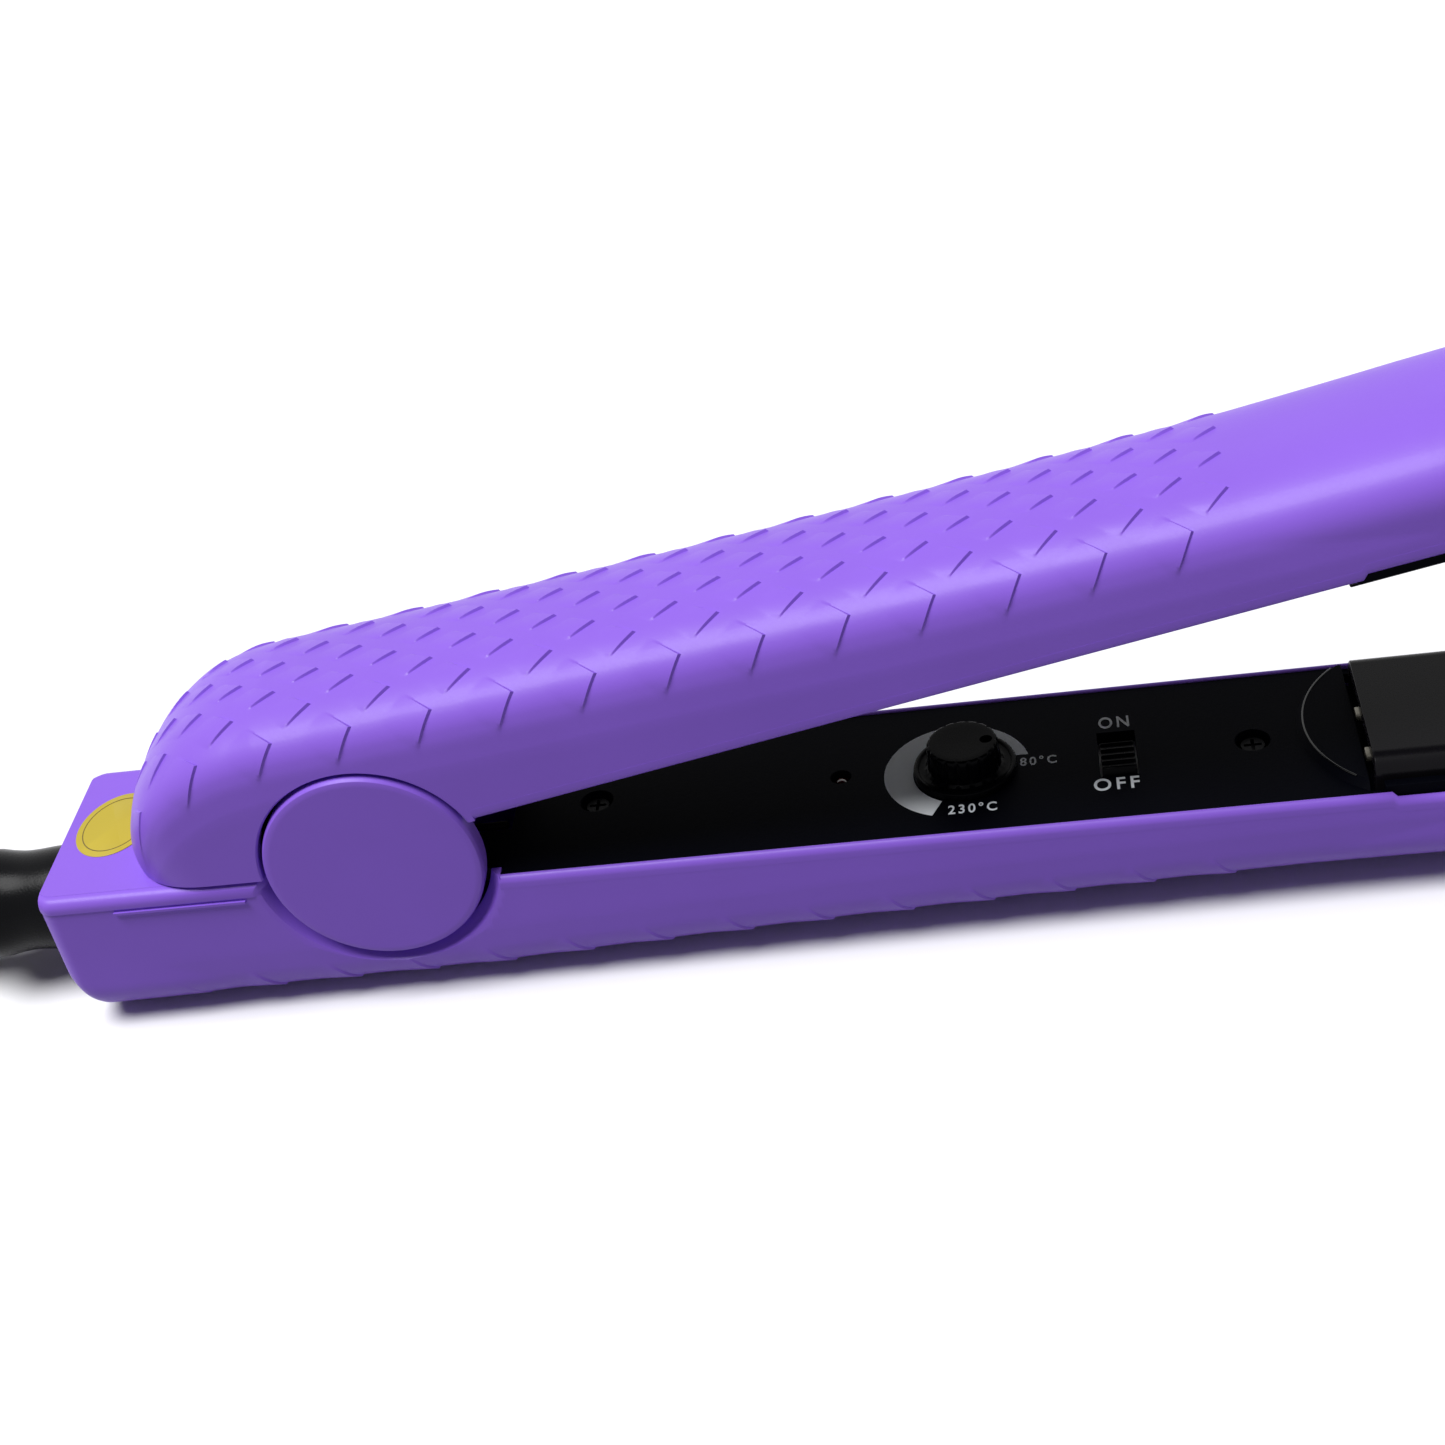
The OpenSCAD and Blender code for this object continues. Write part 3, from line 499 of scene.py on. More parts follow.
def plug():
    """The flat plug's body with its neck, its faces rounded all round. The grip ribs are added to it."""
    side = [(0, 3.4), (1.2, 4.2), (4, 4.8), (7, 6.6), (10.5, 10.2), (14, 13.8), (17, 15.9), (20, 16.9),
            (26, 17.4), (33, 17.6), (35, 17.3), (36, 16.2)]
    outline = [(x, y) for x, y in side] + [(x, -y) for x, y in reversed(side)]
    layers = []
    for z, inset in ((-6.85, 2.2), (-6.6, 1.2), (-6.0, 0.5), (-5.0, 0.1), (-3.5, 0.0), (0, 0.0), (3.5, 0.0),
                     (5.0, 0.1), (6.0, 0.5), (6.6, 1.2), (6.85, 2.2)):
        ring = []
        for x, y in outline:
            k = inset / 17.6
            lift = min(1.0, 0.5 + x / 14)
            ring.append((x + (18 - x) * k * 0.8, y * (1 - k), z * lift))
        layers.append(ring)
    return loft(layers)


PLUG = MILLI @ Matrix.Translation(PLUG_AT)
body = to_object("plug_shell", plug())
carve(body, *[("UNION", cuboid((x, -17.2, -4.6), (x + 1.1, 17.2, 4.6))) for x in (21.5, 24, 26.5, 29)])
settle(body, PLUG, "lower_arm", "plug", RUBBER, "plug_body")
for side in (-1, 1):
    place = Matrix.Translation((36, side * 9.3, 0)) @ Matrix.Rotation(math.pi / 2, 4, "Y")
    metal = lathe([(0, 0), (1.85, 0), (1.85, 9), (2.0, 9.4), (2.0, 17.2), (1.7, 18.3), (1.1, 18.9), (0, 19)],
                  place, 40)
    sleeve = lathe([(0, -0.5), (2.0, -0.5), (2.0, 9.1), (1.9, 9.3), (0, 9.3)], place, 40)
    settle(to_object(f"plug_pin_{side_name(side)}", metal), PLUG, "lower_arm", "pins", NICKEL,
                       "plug_pins")
    settle(to_object(f"pin_sleeve_{side_name(side)}", sleeve), PLUG, "lower_arm", "plug", RUBBER)

# ---------- shells ----------

# The scales lie in rows along the arm. Rows and steps along X share one grid, so that the scales'
# slanting edges fall on the diagonals of the mesh. GRID steps make one pitch, and GRID / 2 one row.
PITCH = 11.5
GRID = 36
FIRST_TIP = 6.4
SCALE_PART = 24
UPPER_DEEP = 0.4
LOWER_DEEP = 0.32
OUTER_ROW = 8.6
LAST_TILE = 19
# The crown is a superellipse quarter. CURVE runs along it from the side to the ridge in shares of its width and
# height, and RUNS gives the arc lengths from the ridge.
BULGE = 0.8
FINE_N = 4000
FINE = [math.pi / 2 * k / FINE_N for k in range(FINE_N)]
CURVE = [(math.cos(a) ** BULGE, math.sin(a) ** BULGE) for a in FINE] + [(0.0, 1.0)]
RUNS = [0.0]
for p, q in zip(reversed(CURVE), reversed(CURVE[:-1])):
    RUNS.append(RUNS[-1] + math.hypot(HALF_W * (p[0] - q[0]), CROWN_H * (p[1] - q[1])))


def arc_at(y):
    """How far along the crown's arc from the ridge a point at this |y| lies."""
    return RUNS[min(range(FINE_N + 1), key=lambda k: abs(HALF_W * CURVE[FINE_N - k][0] - y))]


# Each row of scales, from the ridge at 3.5 outwards, and how far along the arc it lies
RIDGE_ROW = 3.5
ROW_ARCS = [(RIDGE_ROW, 0.0)] + [(4 + k, arc_at(y)) for k, y in enumerate((1.7, 5.0, 8.8, 13.3))]
ROW_ARCS.append((8, ROW_ARCS[-1][1] + OUTER_ROW))
SIDE_DROP = ROW_ARCS[-1][1] - RUNS[-1]


def half_samples():
    """Points of half the crown from the ridge outwards: shares of its width and height, and of the drop below."""
    out = []
    for j in range(9 * GRID // 4 + 1):
        row = RIDGE_ROW + 2 * j / GRID
        for (r0, s0), (r1, s1) in zip(ROW_ARCS, ROW_ARCS[1:]):
            if r0 <= row <= r1 + 1e-9:
                s = s0 + (s1 - s0) * (row - r0) / (r1 - r0)
        if s < RUNS[-1]:
            k = next(k for k in range(FINE_N + 1) if RUNS[k] >= s)
            out.append((*CURVE[FINE_N - k], 0.0))
        else:
            out.append((1.0, 0.0, (s - RUNS[-1]) / SIDE_DROP))
    return out


SAMPLES = half_samples()


def scales(i, x, q, deep):
    """Depth of the moulded scales at a grid point, from -deep between them to 0 at each one's front corner."""
    row = RIDGE_ROW + 2 * q / GRID
    fade = min(1.0, (x + 35) / 9, (147 - x) / 22, (row + 1) / 0.55, (8 - row) / 0.55)
    if fade <= 0:
        return 0.0
    tile_a, a = divmod(i + 7 * GRID // 4 + q, GRID)
    tile_b, b = divmod(i - 7 * GRID // 4 - q, GRID)
    back = GRID - SCALE_PART
    whole = a >= back and b >= back and 0 <= tile_a - tile_b <= 7 and tile_a + tile_b <= LAST_TILE
    rise = (b - back) / SCALE_PART * (1 - ((GRID - a) / SCALE_PART) ** 3) if whole else 0.0
    return fade * deep * (rise - 1)


def section(x, b, t, i, deep):
    """One cross-section, with the pattern pressed in along its normals where it has a place on the grid."""
    h = min(CROWN_H, 0.7 * t)
    drop = min(SIDE_DROP, 0.9 * (t - h))
    half = [(b, -2.0)] + [(b, (t - h - drop) * k / 5) for k in range(5)]
    half += [(b * c, t - h + h * s - d * drop) for c, s, d in reversed(SAMPLES)]
    pts = half + [(-y, z) for y, z in reversed(half[:-1])]
    depths = [0.0] * len(pts)
    if i is not None:
        top = len(half) - 1
        out = list(pts)
        for j in range(6, len(pts) - 6):
            depths[j] = d = scales(i, x, top - j, deep)
            ty, tz = pts[j + 1][0] - pts[j - 1][0], pts[j + 1][1] - pts[j - 1][1]
            size = math.hypot(ty, tz) or 1.0
            out[j] = (pts[j][0] + d * tz / size, pts[j][1] - d * ty / size)
        pts = out
    return [(x, y, z) for y, z in pts], depths


def arm_loft(stations, width, thick, deep):
    """The arm's outer form. A cell that a scale's edge crosses is split along that edge."""
    made = [section(x, max(0.3, HALF_W * width(x)), max(0.3, thick(x)), i, deep) for x, i in stations]
    verts, faces = loft([ring for ring, _ in made])
    n = len(made[0][0])
    out = []
    for f, face in enumerate(faces[:-2]):
        r, j = divmod(f, n)
        k = (j + 1) % n
        d = [made[r][1][j], made[r][1][k], made[r + 1][1][k], made[r + 1][1][j]]
        if max(d) - min(d) < 0.04:
            out.append(face)
        elif abs(d[0] - d[2]) < abs(d[1] - d[3]):
            out += [(face[0], face[1], face[2]), (face[0], face[2], face[3])]
        else:
            out += [(face[0], face[1], face[3]), (face[1], face[2], face[3])]
    return verts, out + faces[-2:]


SHRINK_FROM = 45
SHRINK = 0.00053


def grid_stations(x0, x1, shift):
    """Steps on the scales' grid. The pitch grows a little smaller where the arm gets slim."""
    i0 = math.ceil((x0 - FIRST_TIP) * GRID / PITCH)
    i1 = math.floor((x1 - FIRST_TIP) * GRID / PITCH)
    xs = [(FIRST_TIP + shift + PITCH * i / GRID, i) for i in range(i0, i1 + 1)]
    return [(x - SHRINK * max(0.0, x - SHRINK_FROM) ** 2, i) for x, i in xs]


def steps_along(spans):
    """Positions along X: each span is its start, its end and the most that a step may be."""
    out = []
    for x0, x1, step in spans:
        n = max(1, math.ceil((x1 - x0) / step - 1e-6))
        out += [x0 + (x1 - x0) * k / n for k in range(n)]
    return out + [spans[-1][1]]


TIP_XS = [TIP_START + TIP_LEN * math.sin(math.pi / 2 * k / 26) for k in range(26)] + [FRONT_LEN - 0.02]
COARSE = [math.pi / 2 * k / 14 for k in range(14)]


def inner_xs(first, x0):
    """Where the cavity of an arm has its sections, from the given ones at its rear on to the tip."""
    return (first + steps_along([(x0, SLIM_X, 12), (SLIM_X, TIP_START, 20)])[:-1]
            + [x for x in TIP_XS if x < FRONT_LEN - 4])


def plan_fill(x0, x1, z0, z1):
    """A block that fills the arm's plan inside its lip."""
    xs = [x for x in steps_along([(x0, TIP_START, 12)]) if x < x1] + [x for x in TIP_XS[1:] if x < x1] + [x1]
    rings = []
    for x in xs:
        y = max(0.05, HALF_W * tip_plan(x) - LIP_W)
        rings.append([(x, -y, z0), (x, y, z0), (x, y, z1), (x, -y, z1)])
    return loft(rings)


def cavity(xs, width, thick):
    """The inside of an arm: its outer form made smaller by the wall, without the pattern."""
    rings = []
    for x in xs:
        b, t = min(EAR_OUT, HALF_W * width(x) - WALL), thick(x) - WALL
        h = min(CROWN_H, 0.7 * t)
        half = [(b, -2.0), (b, 0.0)]
        half += [(b * math.cos(a) ** BULGE, t - h + h * math.sin(a) ** BULGE) for a in COARSE] + [(0.0, t)]
        rings.append([(x, y, z) for y, z in half + [(-y, z) for y, z in reversed(half[:-1])]])
    return loft(rings)


def swivel_axis(turn):
    """Z laid along the swivel, forwards for a turn of 1 and backwards for -1."""
    return Matrix.Translation((-REAR_LEN, 0, -SWIVEL_D)) @ Matrix.Rotation(turn * math.pi / 2, 4, "Y")


LOWER_FLIP = Matrix.Scale(-1, 4, (0, 0, 1))
RAISE = Matrix.Translation((0, 0, ARM_GAP))
REAR_END = [-REAR_LEN + 2 * (1 - math.cos(math.pi / 2 * k / 8)) for k in range(8)]
REAR_XS = [(x, None) for x in REAR_END + steps_along([(-REAR_LEN + 2, -REAR_LEN + 4.4, 0.4),
                                                      (-REAR_LEN + 4.4, -36, 2)])]
FRONT_XS = [(x, None) for x in steps_along([(148.5, TIP_START, 3)])[:-1] + TIP_XS]
CAP_CUTS = hinge_cones("DIFFERENCE", CUT_R, CUT_R, EAR_OUT, FAR)
BEVELS = [*hinge_cones("DIFFERENCE", CUT_R, CUT_R + 3.2, HALF_W - 2.2, HALF_W + 2.2),
          *hinge_cones("DIFFERENCE", CUT_R + 0.9, CUT_R + 3.1, HALF_W - 0.4, HALF_W + 0.4)]
EDGES = hinge_cones("DIFFERENCE", CUT_R - 0.1, CUT_R + 0.9, HALF_W - 0.35, HALF_W + 0.65)
SWIVEL_BORE = ("DIFFERENCE", lathe([(5.5, -5), (5.5, 5)], swivel_axis(1), 48))
# The pocket inside the lip gets deeper at the plates' bay, where the lip steps down
POCKET_X0 = 16.9
POCKET_X1 = 229.1
LIP_STEP = 0.8
STEP_X = 136.5
POCKET = [plan_fill(POCKET_X0, POCKET_X1, -2, 4), plan_fill(135.3, POCKET_X1, -4, 0),
          box(POCKET_X0, FAR, FAR, LIP_H - 1, FAR), box(STEP_X - 0.4, FAR, FAR, LIP_H - (1 + LIP_STEP), FAR)]

lower = to_object("lower_arm_shell", moved(
    arm_loft(REAR_XS + grid_stations(-32, 156, -2.4) + FRONT_XS, lower_w, lower_t, LOWER_DEEP), LOWER_FLIP))
carve(lower,
      ("DIFFERENCE", moved(cavity(inner_xs([-REAR_LEN + 2.6, -46, -36, -30], -24), lower_w, lower_t), LOWER_FLIP)),
      ("DIFFERENCE", box(BLOCK_X1, FAR, FAR, LIP_H, FAR)),
      ("DIFFERENCE", box(-FAR, BLOCK_X1, FAR, BLOCK_H - COVER_T, FAR)),
      *[("DIFFERENCE", s) for s in POCKET], *CAP_CUTS, *BEVELS,
      *hinge_cones("UNION", 7.5, 7.5, 9.3, EAR_OUT + 0.2), SWIVEL_BORE)
settle(lower, LOWER, "lower_arm", "shell", PURPLE, "lower_shell", angle=28)

TAIL_XS = [(TAIL_X - TAIL_LEN * math.cos(math.pi / 6 * (k / 28) ** 1.6), None) for k in range(1, 28)]
upper = to_object("upper_arm_shell", moved(
    arm_loft(TAIL_XS + grid_stations(-33.2, 153.5, 0.25) + FRONT_XS, upper_w, upper_t, UPPER_DEEP), RAISE))
below_tail = moved(box(-FAR, 0, FAR, -FAR, BLOCK_H + 0.3), SHUT)
carve(upper,
      ("DIFFERENCE", moved(cavity(inner_xs([-31, -28, -24, -20, -16, -12.1], -12), upper_w,
                                  lambda x: upper_t(x) - (0.8 if x < TAIL_X else 0)), RAISE)),
      ("DIFFERENCE", box(0, FAR, FAR, -FAR, ARM_GAP - LIP_H)),
      ("DIFFERENCE", below_tail),
      *[("DIFFERENCE", moved(s, TWIN)) for s in POCKET], *CAP_CUTS, *EDGES,
      *hinge_cones("UNION", 6.5, 6.5, 4.2, 9))
settle(upper, UPPER, "upper_arm", "shell", PURPLE, "upper_shell", angle=30)


# The lip's section: how far inwards from the side, and how far above its top
LIP = [(-0.012, -1.9), (-0.012, -1.0), (0.02, -0.8), (0.11, -0.56), (0.26, -0.34), (0.45, -0.16), (0.66, -0.04),
       (0.85, 0.0), (1.02, -0.06), (1.1, -0.2), (1.1, -1.9)]


def bead():
    """The rounded top of the lip, run round the arm's plan."""
    xs = steps_along([(POCKET_X0 - 0.2, 136.2, 6), (136.2, 136.9, 0.7), (136.9, TIP_START, 6)])[:-1] + TIP_XS[:-1]
    path = [(x, HALF_W * tip_plan(x)) for x in xs]
    path = path + [(x, -y) for x, y in reversed(path)]
    rings = []
    for i, (x, y) in enumerate(path):
        p, q = path[max(0, i - 1)], path[min(len(path) - 1, i + 1)]
        t = Vector((q[0] - p[0], q[1] - p[1])).normalized()
        n = Vector((t[1], -t[0]))  # inwards
        top = LIP_H - (LIP_STEP if x > STEP_X else 0.0)
        rings.append([(x + n[0] * off, y + n[1] * off, top + z) for off, z in LIP])
    return loft(rings)


settle(to_object("lower_lip", bead()), LOWER, "lower_arm", "shell", PURPLE, angle=60)
settle(to_object("upper_lip", bead()), UPPER @ TWIN, "upper_arm", "shell", PURPLE, angle=60)

# Rear block's top: a lid that overhangs the block a little, with rounded edges above a fine step. Its side is given as
# how far it stands out from the block, and its height.
LID_SIDE = [(-0.3, BLOCK_H - COVER_T), (0.2, BLOCK_H - COVER_T), (0.22, BLOCK_H - 1.75)]
LID_SIDE += [(0.22 - 1.6 + 1.6 * math.cos(a), BLOCK_H - 1.68 + 1.6 * math.sin(a))
             for a in (math.pi / 2 * k / 8 for k in range(1, 9))]
LID_SIDE += [(-1.45, BLOCK_H)]
cover_rings = []
for x in REAR_END + [-48, -32, BLOCK_X1]:
    half = [(HALF_W * lower_w(x) + out, z) for out, z in LID_SIDE]
    cover_rings.append([(x, y, z) for y, z in half] + [(x, -y, z) for y, z in reversed(half)])
cover = to_object("rear_block_cover", loft(cover_rings))
carve(cover, *CAP_CUTS, *BEVELS,
      ("UNION", cuboid((-REAR_LEN + 0.1, -5.3, -SWIVEL_D), (-REAR_LEN + 2.6, 5.3, BLOCK_H - COVER_T + 0.01))),
      SWIVEL_BORE)
settle(cover, LOWER, "lower_arm", "shell", PURPLE, "rear_cover", angle=35)
for side in (-1, 1):
    settle(to_object(f"block_ledge_{side_name(side)}", side_box(side, -39, -19.5, 15.2, 15.95, 0.35, 0.75)), LOWER,
           "lower_arm", "shell", PURPLE)

# ---------- pivot caps and label ----------


def cap(side):
    """A pivot cap with a rounded rim, on the ear's outer face."""
    out = CAP_OUT - EAR_OUT
    profile = [(0, 0), (DISC_R, 0), (DISC_R, out - 0.9), (DISC_R - 0.08, out - 0.5), (DISC_R - 0.35, out - 0.15),
               (DISC_R - 0.8, out - 0.02), (DISC_R - 1.3, out), (0, out)]
    return lathe(profile, Matrix.Translation((0, side * EAR_OUT, HINGE_H))
                 @ Matrix.Rotation(-side * math.pi / 2, 4, "X"), HINGE_STEPS)


settle(to_object("near_pivot_cap", cap(-1)), LOWER, "lower_arm", "shell", PURPLE, "near_disc_cap")
settle(to_object("far_pivot_cap", cap(1)), LOWER, "lower_arm", "shell", PURPLE, "far_disc_cap")

LABEL = (Matrix.Translation((-42.6, 1.3, BLOCK_H)) @ Matrix.Rotation(math.radians(-7), 4, "Z")
         @ Matrix.Scale(0.78, 4, (1, 0, 0)))
settle(to_object("round_sticker", lathe([(0, 0), (7.35, 0), (7.35, 0.08), (7.28, 0.12), (0, 0.12)], LABEL)), LOWER,
       "lower_arm", "label", STICKER, "round_label")
settle(to_object("sticker_ring", lathe([(6.02, 0.115), (6.2, 0.115), (6.2, 0.135), (6.02, 0.135), (6.02, 0.115)],
                                       LABEL)), LOWER, "lower_arm", "label", STICKER_LINE)

# ---------- control panel ----------


def copy_of(name, node, width, m):
    """A softened copy of a plain CAD node, worked on in millimetres in the frame m."""
    o = bpy.data.objects.new(name, NODES[node].data.copy())
    scene.collection.objects.link(o)
    o.data.transform(m.inverted())
    soften(o, width)
    return o


for name, node, width, arm in (("panel", "control_panel", 0.22, "lower_arm"),
                               ("upper_cover", "upper_inner_cover", 0.22, "upper_arm"),
                               ("lower_frame_rim", "lower_plate_frame", 0.3, "lower_arm"),
                               ("upper_frame_rim", "upper_plate_frame", 0.3, "upper_arm")):
    settle(copy_of(name, node, width, LOWER), LOWER, arm, "black_plastic", BLACK, node, flat=True)

# The dark end of each plates' bay, behind the gap at the cover
BAY_X0 = 131.5
BAY_X1 = 136.6
for name, m, arm in (("lower", LOWER, "lower_arm"), ("upper", UPPER @ TWIN, "upper_arm")):
    settle(to_object(f"{name}_bay_end", cuboid((BAY_X0, -14.2, -6), (BAY_X1, 14.2, -2.3))), m, arm,
           "black_plastic", BLACK)
    for side in (-1, 1):
        settle(to_object(f"{name}_bay_side_{side_name(side)}",
                         side_box(side, BAY_X0, BAY_X1, 13.2, 14.35, -2.4, -0.35)), m, arm, "black_plastic", BLACK)


def edge_bead():
    """A fine rounded rim along the curved end of the raised platform before the plates."""
    bend, thick, steps = 16.6, 0.16, 48
    rings = []
    for k in range(steps + 1):
        a = math.radians(133 + 94 * k / steps)
        rings.append([(143.5 + (bend + thick * math.cos(b)) * math.cos(a),
                       0.8 + (bend + thick * math.cos(b)) * math.sin(a), 0.95 + thick * math.sin(b))
                      for b in (2 * math.pi * j / 10 for j in range(10))])
    return loft(rings)


settle(to_object("platform_rim", edge_bead()), LOWER, "lower_arm", "black_plastic", GLOSS, angle=60)

KNOB_AT = (81.1, -0.8)


def crescent():
    """The printed heat scale: wide at its hot end, thin at its cool end."""
    rings = []
    n = 72
    for k in range(n + 1):
        a = math.radians(-110 - 238 * k / n)
        b = math.radians(-117 - 225 * k / n)
        outer = (79.9 + 10.1 * math.cos(a), -0.7 + 10.1 * math.sin(a))
        inner = (KNOB_AT[0] + 7.25 * math.cos(b), KNOB_AT[1] + 7.25 * math.sin(b))
        rings.append([(*outer, 0.0), (*outer, 0.03), (*inner, 0.03), (*inner, 0.0)])
    return loft(rings)


settle(to_object("heat_scale", crescent()), LOWER, "lower_arm", "black_plastic", PRINT)


def lettering(name, words, x0, x1, y0, y1):
    """Flat printed words that fill a box on the panel."""
    font = bpy.data.curves.new(name, "FONT")
    font.body = words
    font.size = 3
    font.resolution_u = 8
    font.extrude = 0.02
    font.offset = 0.045
    font.space_character = 1.3
    o = bpy.data.objects.new(name, font)
    scene.collection.objects.link(o)
    m = bpy.data.meshes.new_from_object(o.evaluated_get(bpy.context.evaluated_depsgraph_get()))
    bpy.data.objects.remove(o)
    o = bpy.data.objects.new(name, m)
    scene.collection.objects.link(o)
    lo = [min(v.co[k] for v in m.vertices) for k in (0, 1)]
    hi = [max(v.co[k] for v in m.vertices) for k in (0, 1)]
    sx, sy = (x1 - x0) / (hi[0] - lo[0]), (y1 - y0) / (hi[1] - lo[1])
    for v in m.vertices:
        v.co = (x0 + (v.co[0] - lo[0]) * sx, y0 + (v.co[1] - lo[1]) * sy, 0.012 + v.co[2])
    settle(o, LOWER, "lower_arm", "black_plastic", PRINT)


lettering("mark_cool", "80°C", 88.6, 93.6, -1.15, 0.75)
lettering("mark_hot", "230°C", 78.6, 85.2, -10.3, -8.3)
lettering("mark_on", "ON", 99.7, 103.9, 5.5, 8.1)
lettering("mark_off", "OFF", 98.3, 104.4, -8.3, -5.7)

# ---------- knob ----------


def knob():
    """The fluted dial on its flange: radius, height and how much of the flutes' depth each ring has."""
    flutes = 18
    steps = flutes * 12
    profile = [(0, 0.3, 0), (7.1, 0.3, 0), (7.1, 0.9, 0), (7.0, 1.15, 0), (6.75, 1.25, 0), (6.5, 1.2, 0),
               (6.3, 0.95, 0), (5.95, 0.85, 0), (5.45, 0.95, 0), (5.1, 1.3, 0.4), (5.05, 1.9, 1), (4.98, 3.0, 1),
               (4.9, 4.2, 1), (4.86, 4.6, 1), (4.78, 4.78, 0.8), (4.62, 4.88, 0.3), (4.4, 4.9, 0), (3.5, 4.86, 0),
               (0, 4.8, 0)]
    rings = []
    for r, z, flute in profile:
        ring = []
        for k in range(steps):
            a = 2 * math.pi * k / steps
            cut_r = max(1e-3, r - 0.22 * flute * max(0.0, math.cos(flutes * a)) ** 1.5)
            ring.append((KNOB_AT[0] + cut_r * math.cos(a), KNOB_AT[1] + cut_r * math.sin(a), z))
        rings.append(ring)
    return loft(rings)


dial = to_object("dial_cap", knob())
pointer = lathe([(0, 4.1), (0.7, 4.2), (0.95, 5.2), (0, 5.2)],
                Matrix.Translation((KNOB_AT[0] + 3.3, KNOB_AT[1] + 0.15, 0)), 32)
shaft_hole = lathe([(1.5, -1), (1.5, 3.2)], Matrix.Translation((*KNOB_AT, 0)), 32)
carve(dial, ("DIFFERENCE", pointer), ("DIFFERENCE", shaft_hole))
settle(dial, LOWER, "dial", "black_plastic", KNOB, "temperature_knob")


def slider():
    """The switch's grip, with four hollows across its top."""
    y0, length, top, hollows, steps = -5.0, 5.9, 1.2, 4, 48
    rings = []
    rows = [(0.3, top)]
    for k in range(1, steps):
        y = 0.3 + (length - 0.6) * k / steps
        rows.append((y, top - 0.32 * (0.5 - 0.5 * math.cos(2 * math.pi * hollows * k / steps))))
    rows.append((length - 0.3, top))
    outline = [(0, -1.7), (0, 0.9)] + rows + [(length, 0.9), (length, -1.7)]
    for x in (-2.3, -2.15, 2.15, 2.3):
        drop = 0.15 if abs(x) > 2.2 else 0.0
        rings.append([(101.9 + x, y0 + y, z - (drop if z > 0 else 0)) for y, z in outline])
    return loft(rings)


grip = to_object("switch_grip", slider())
carve(grip, ("UNION", cuboid((100.7, -3.2, -4), (103.1, -0.8, -1.6))))
settle(grip, LOWER, "power_switch", "black_plastic", KNOB, "switch_slider", angle=50)

LENS_R = 1.4
lens = lathe([(0, -9.4), (LENS_R, -9.4), (LENS_R, -1.9)] + [
    (LENS_R * math.cos(math.pi / 2 * k / 10), -1.9 + LENS_R * math.sin(math.pi / 2 * k / 10)) for k in range(1, 11)],
    Matrix.Translation((63.7, 0.35, 0)), 40)
settle(to_object("lamp_lens", lens), LOWER, "lower_arm", "lamp", LAMP, "power_led")

# ---------- heater plates ----------


def plate():
    """Channel section with rounded shoulders and slightly rounded ends."""
    half, top, shoulder = 12.4, 3.7, 2.6
    sec = [(half, -1.2)]
    for k in range(15):
        a = math.pi / 2 * k / 14
        sec.append((half - shoulder + shoulder * math.cos(a), top - shoulder + shoulder * math.sin(a)))
    sec = sec + [(-y, z) for y, z in reversed(sec)]
    inner = [(-half + 1.4, -1.2), (-half + 1.4, 1.9), (half - 1.4, 1.9), (half - 1.4, -1.2)]
    rings = []
    for x, drop in ((134.4, 0.2), (134.46, 0.06), (134.6, 0.0), (224.65, 0.0), (224.9, 0.15), (225, 0.35)):
        rings.append([(x, y * (1 - drop / half), z - (drop if z > 0 else 0)) for y, z in sec]
                     + [(x, y, z) for y, z in inner])
    return loft(rings)


def lugs_shape():
    """The two lugs that show at a plate's rear end, as one shape."""
    verts, faces = [], []
    for y in (2.2, -6.8):
        v, f = cuboid((133.9, y - 1, 0.2), (137, y + 1, 1.3))
        base = len(verts)
        verts += list(v)
        faces += [tuple(i + base for i in face) for face in f]
    return verts, faces


for name, m, arm, node in (("lower", LOWER, "lower_plate", "lower_heater_plate"),
                           ("upper", UPPER @ TWIN, "upper_plate", "upper_heater_plate")):
    settle(to_object(f"{name}_plate", plate()), m, arm, "plate", CERAMIC_COAT, node, angle=50, flat=True)
    lugs = to_object(f"{name}_plate_lugs", lugs_shape())
    soften(lugs, 0.2)
    settle(lugs, m, arm, "plate", BED)

# The upper pads: a softened copy on the upper arm, with a mesh of its own
upper_pads = settle(copy_of("upper_pads", "upper_plate_pads", 0.15, UPPER), UPPER, "upper_arm", "pads", PADS,
                    "upper_plate_pads")
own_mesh(upper_pads)

# ---------- strain relief ----------

boot = [(0, -5.0), (7.0, -5.0), (7.0, -2.9), (5.4, -2.9), (5.4, 0.3), (7.5, 0.3), (7.75, 0.6), (7.8, 1.6),
        (7.8, 3), (7.68, 5), (7.5, 7), (7.42, 8.6), (7.45, 10), (7.68, 11.8), (8.0, 13.4), (8.15, 15), (8.0, 16.6),
        (7.4, 18), (6.4, 19.3), (5.5, 20.1), (5.15, 20.4)]
z = 20.4
while z < 38.5:
    r = 5.15 - (z - 20.4) / 18.1
    boot += [(r, z + 0.3), (r - 0.55, z + 0.7), (r - 0.55, z + 1.5), (r, z + 1.9)]
    z += 2.4
boot += [(4.05, 39.7), (3.9, 40), (0, 40)]
settle(to_object("cord_boot", lathe(boot, swivel_axis(-1), 72)), LOWER, "cord_swivel", "cord", RUBBER,
       "strain_relief", angle=45)

# ---------- stage ----------

scene.view_settings.view_transform = "Standard"


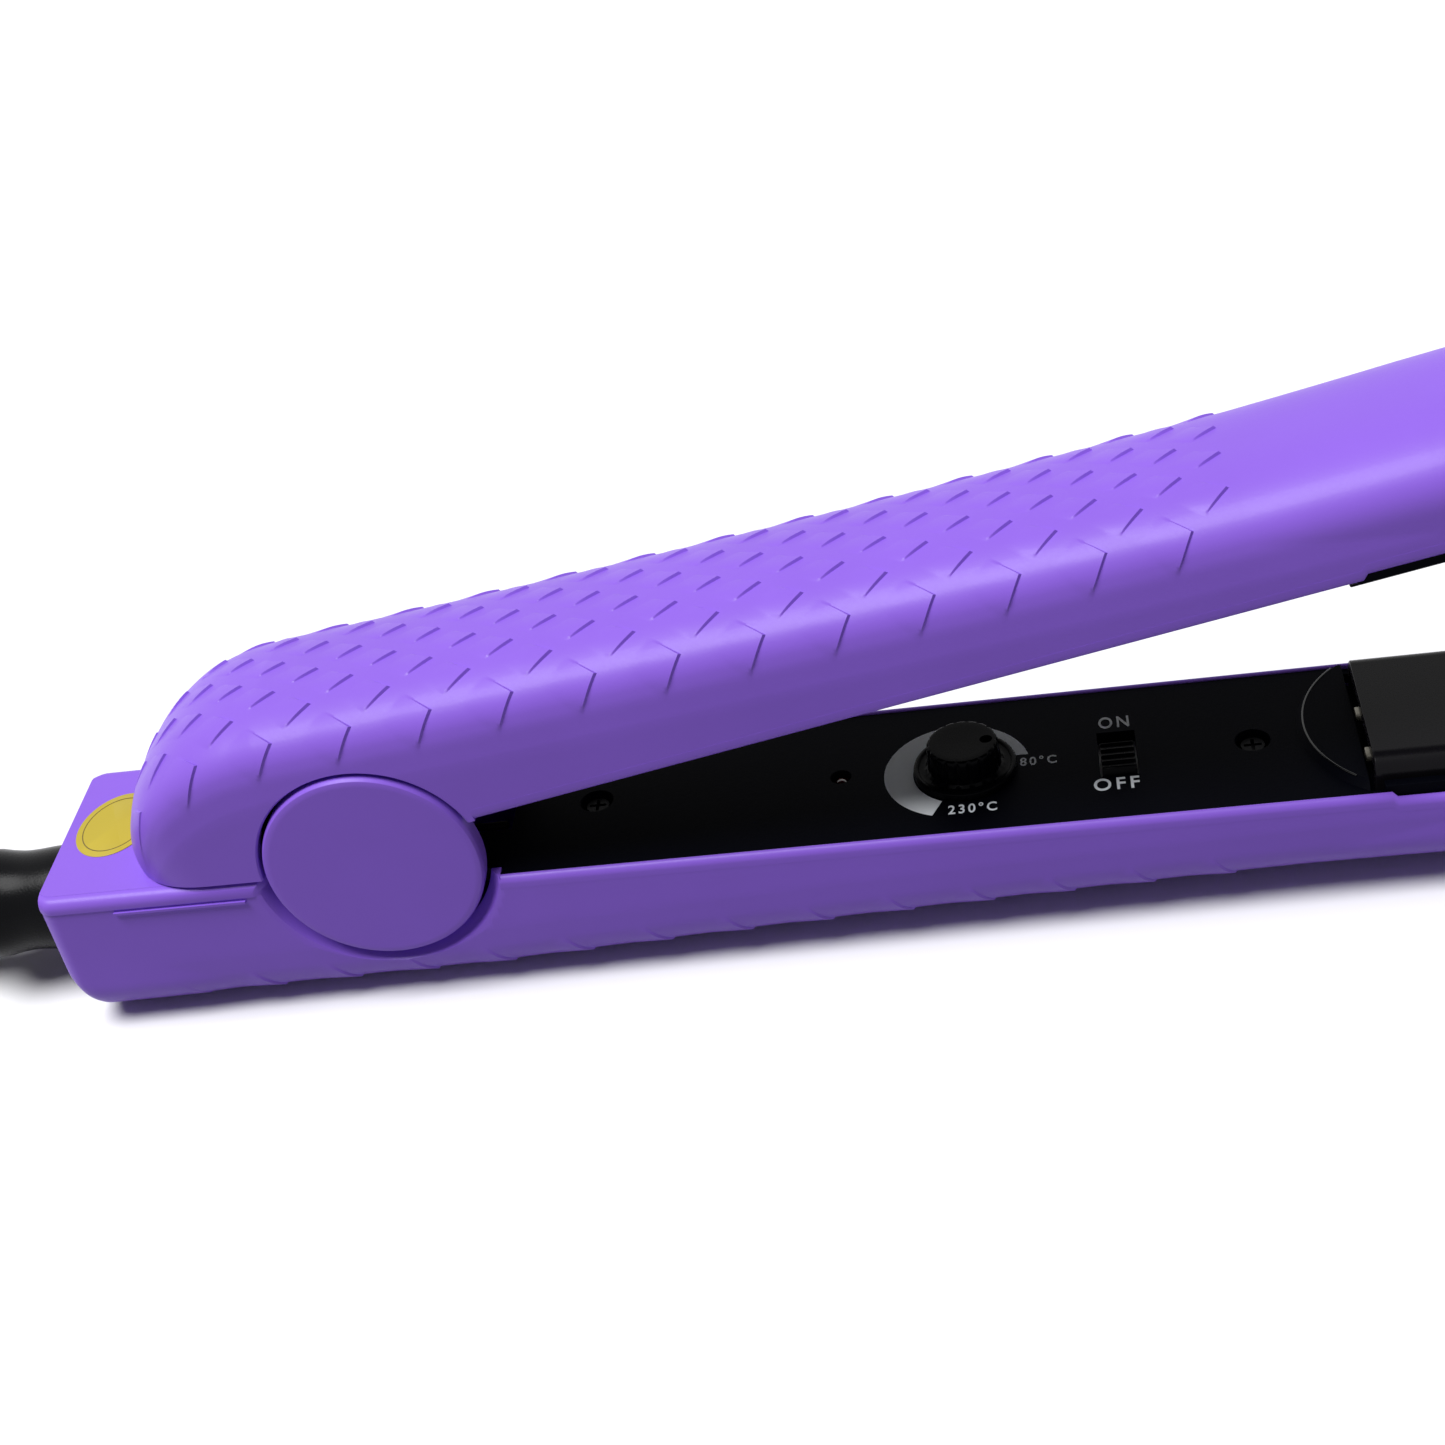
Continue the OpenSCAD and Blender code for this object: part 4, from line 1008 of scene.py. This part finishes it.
def background_rays(tree):
    """1 where the background is seen: straight from the camera, in a reflection or through glass."""
    ray = tree.nodes.new("ShaderNodeLightPath")
    last = ray.outputs["Is Camera Ray"]
    for kind in ("Is Glossy Ray", "Is Transmission Ray"):
        either = tree.nodes.new("ShaderNodeMath")
        either.operation = "MAXIMUM"
        tree.links.new(last, either.inputs[0])
        tree.links.new(ray.outputs[kind], either.inputs[1])
        last = either.outputs[0]
    return last


def stage_material():
    m = bpy.data.materials.new("floor")
    m.use_nodes = True
    tree = m.node_tree
    bsdf = tree.nodes["Principled BSDF"]
    bsdf.inputs["Roughness"].default_value = 0.9
    bsdf.inputs["Specular IOR Level"].default_value = 0.0
    mix = tree.nodes.new("ShaderNodeMix")
    mix.data_type = "RGBA"
    mix.inputs[6].default_value = (0.33, 0.33, 0.35, 1)
    mix.inputs[7].default_value = (0.88, 0.88, 0.9, 1)
    tree.links.new(background_rays(tree), mix.inputs[0])
    tree.links.new(mix.outputs[2], bsdf.inputs["Base Color"])
    return m


floor_mesh = bpy.data.meshes.new("floor")
floor_mesh.from_pydata([(-4, -4, 0), (4, -4, 0), (4, 4, 0), (-4, 4, 0)], [], [(0, 1, 2, 3)])
floor = bpy.data.objects.new("floor", floor_mesh)
floor.data.materials.append(stage_material())
scene.collection.objects.link(floor)

world = bpy.data.worlds.new("world")
scene.world = world
world.use_nodes = True
tree = world.node_tree
back = tree.nodes["Background"]
back.inputs[0].default_value = (1, 1, 1, 1)
level = tree.nodes.new("ShaderNodeMapRange")
level.inputs["To Min"].default_value = 0.1
level.inputs["To Max"].default_value = 1.0
tree.links.new(background_rays(tree), level.inputs["Value"])
tree.links.new(level.outputs["Result"], back.inputs[1])


def soft_sun(name, where, angle, power):
    """A wide sun, so that the floor is lit evenly however far it reaches."""
    data = bpy.data.lights.new(name, "SUN")
    data.energy = power
    data.angle = math.radians(angle)
    o = bpy.data.objects.new(name, data)
    o.location = where
    o.rotation_euler = (-Vector(where)).to_track_quat("-Z", "Y").to_euler()
    scene.collection.objects.link(o)


soft_sun("key", (-0.54, -0.27, 1.68), 34, 4.0)
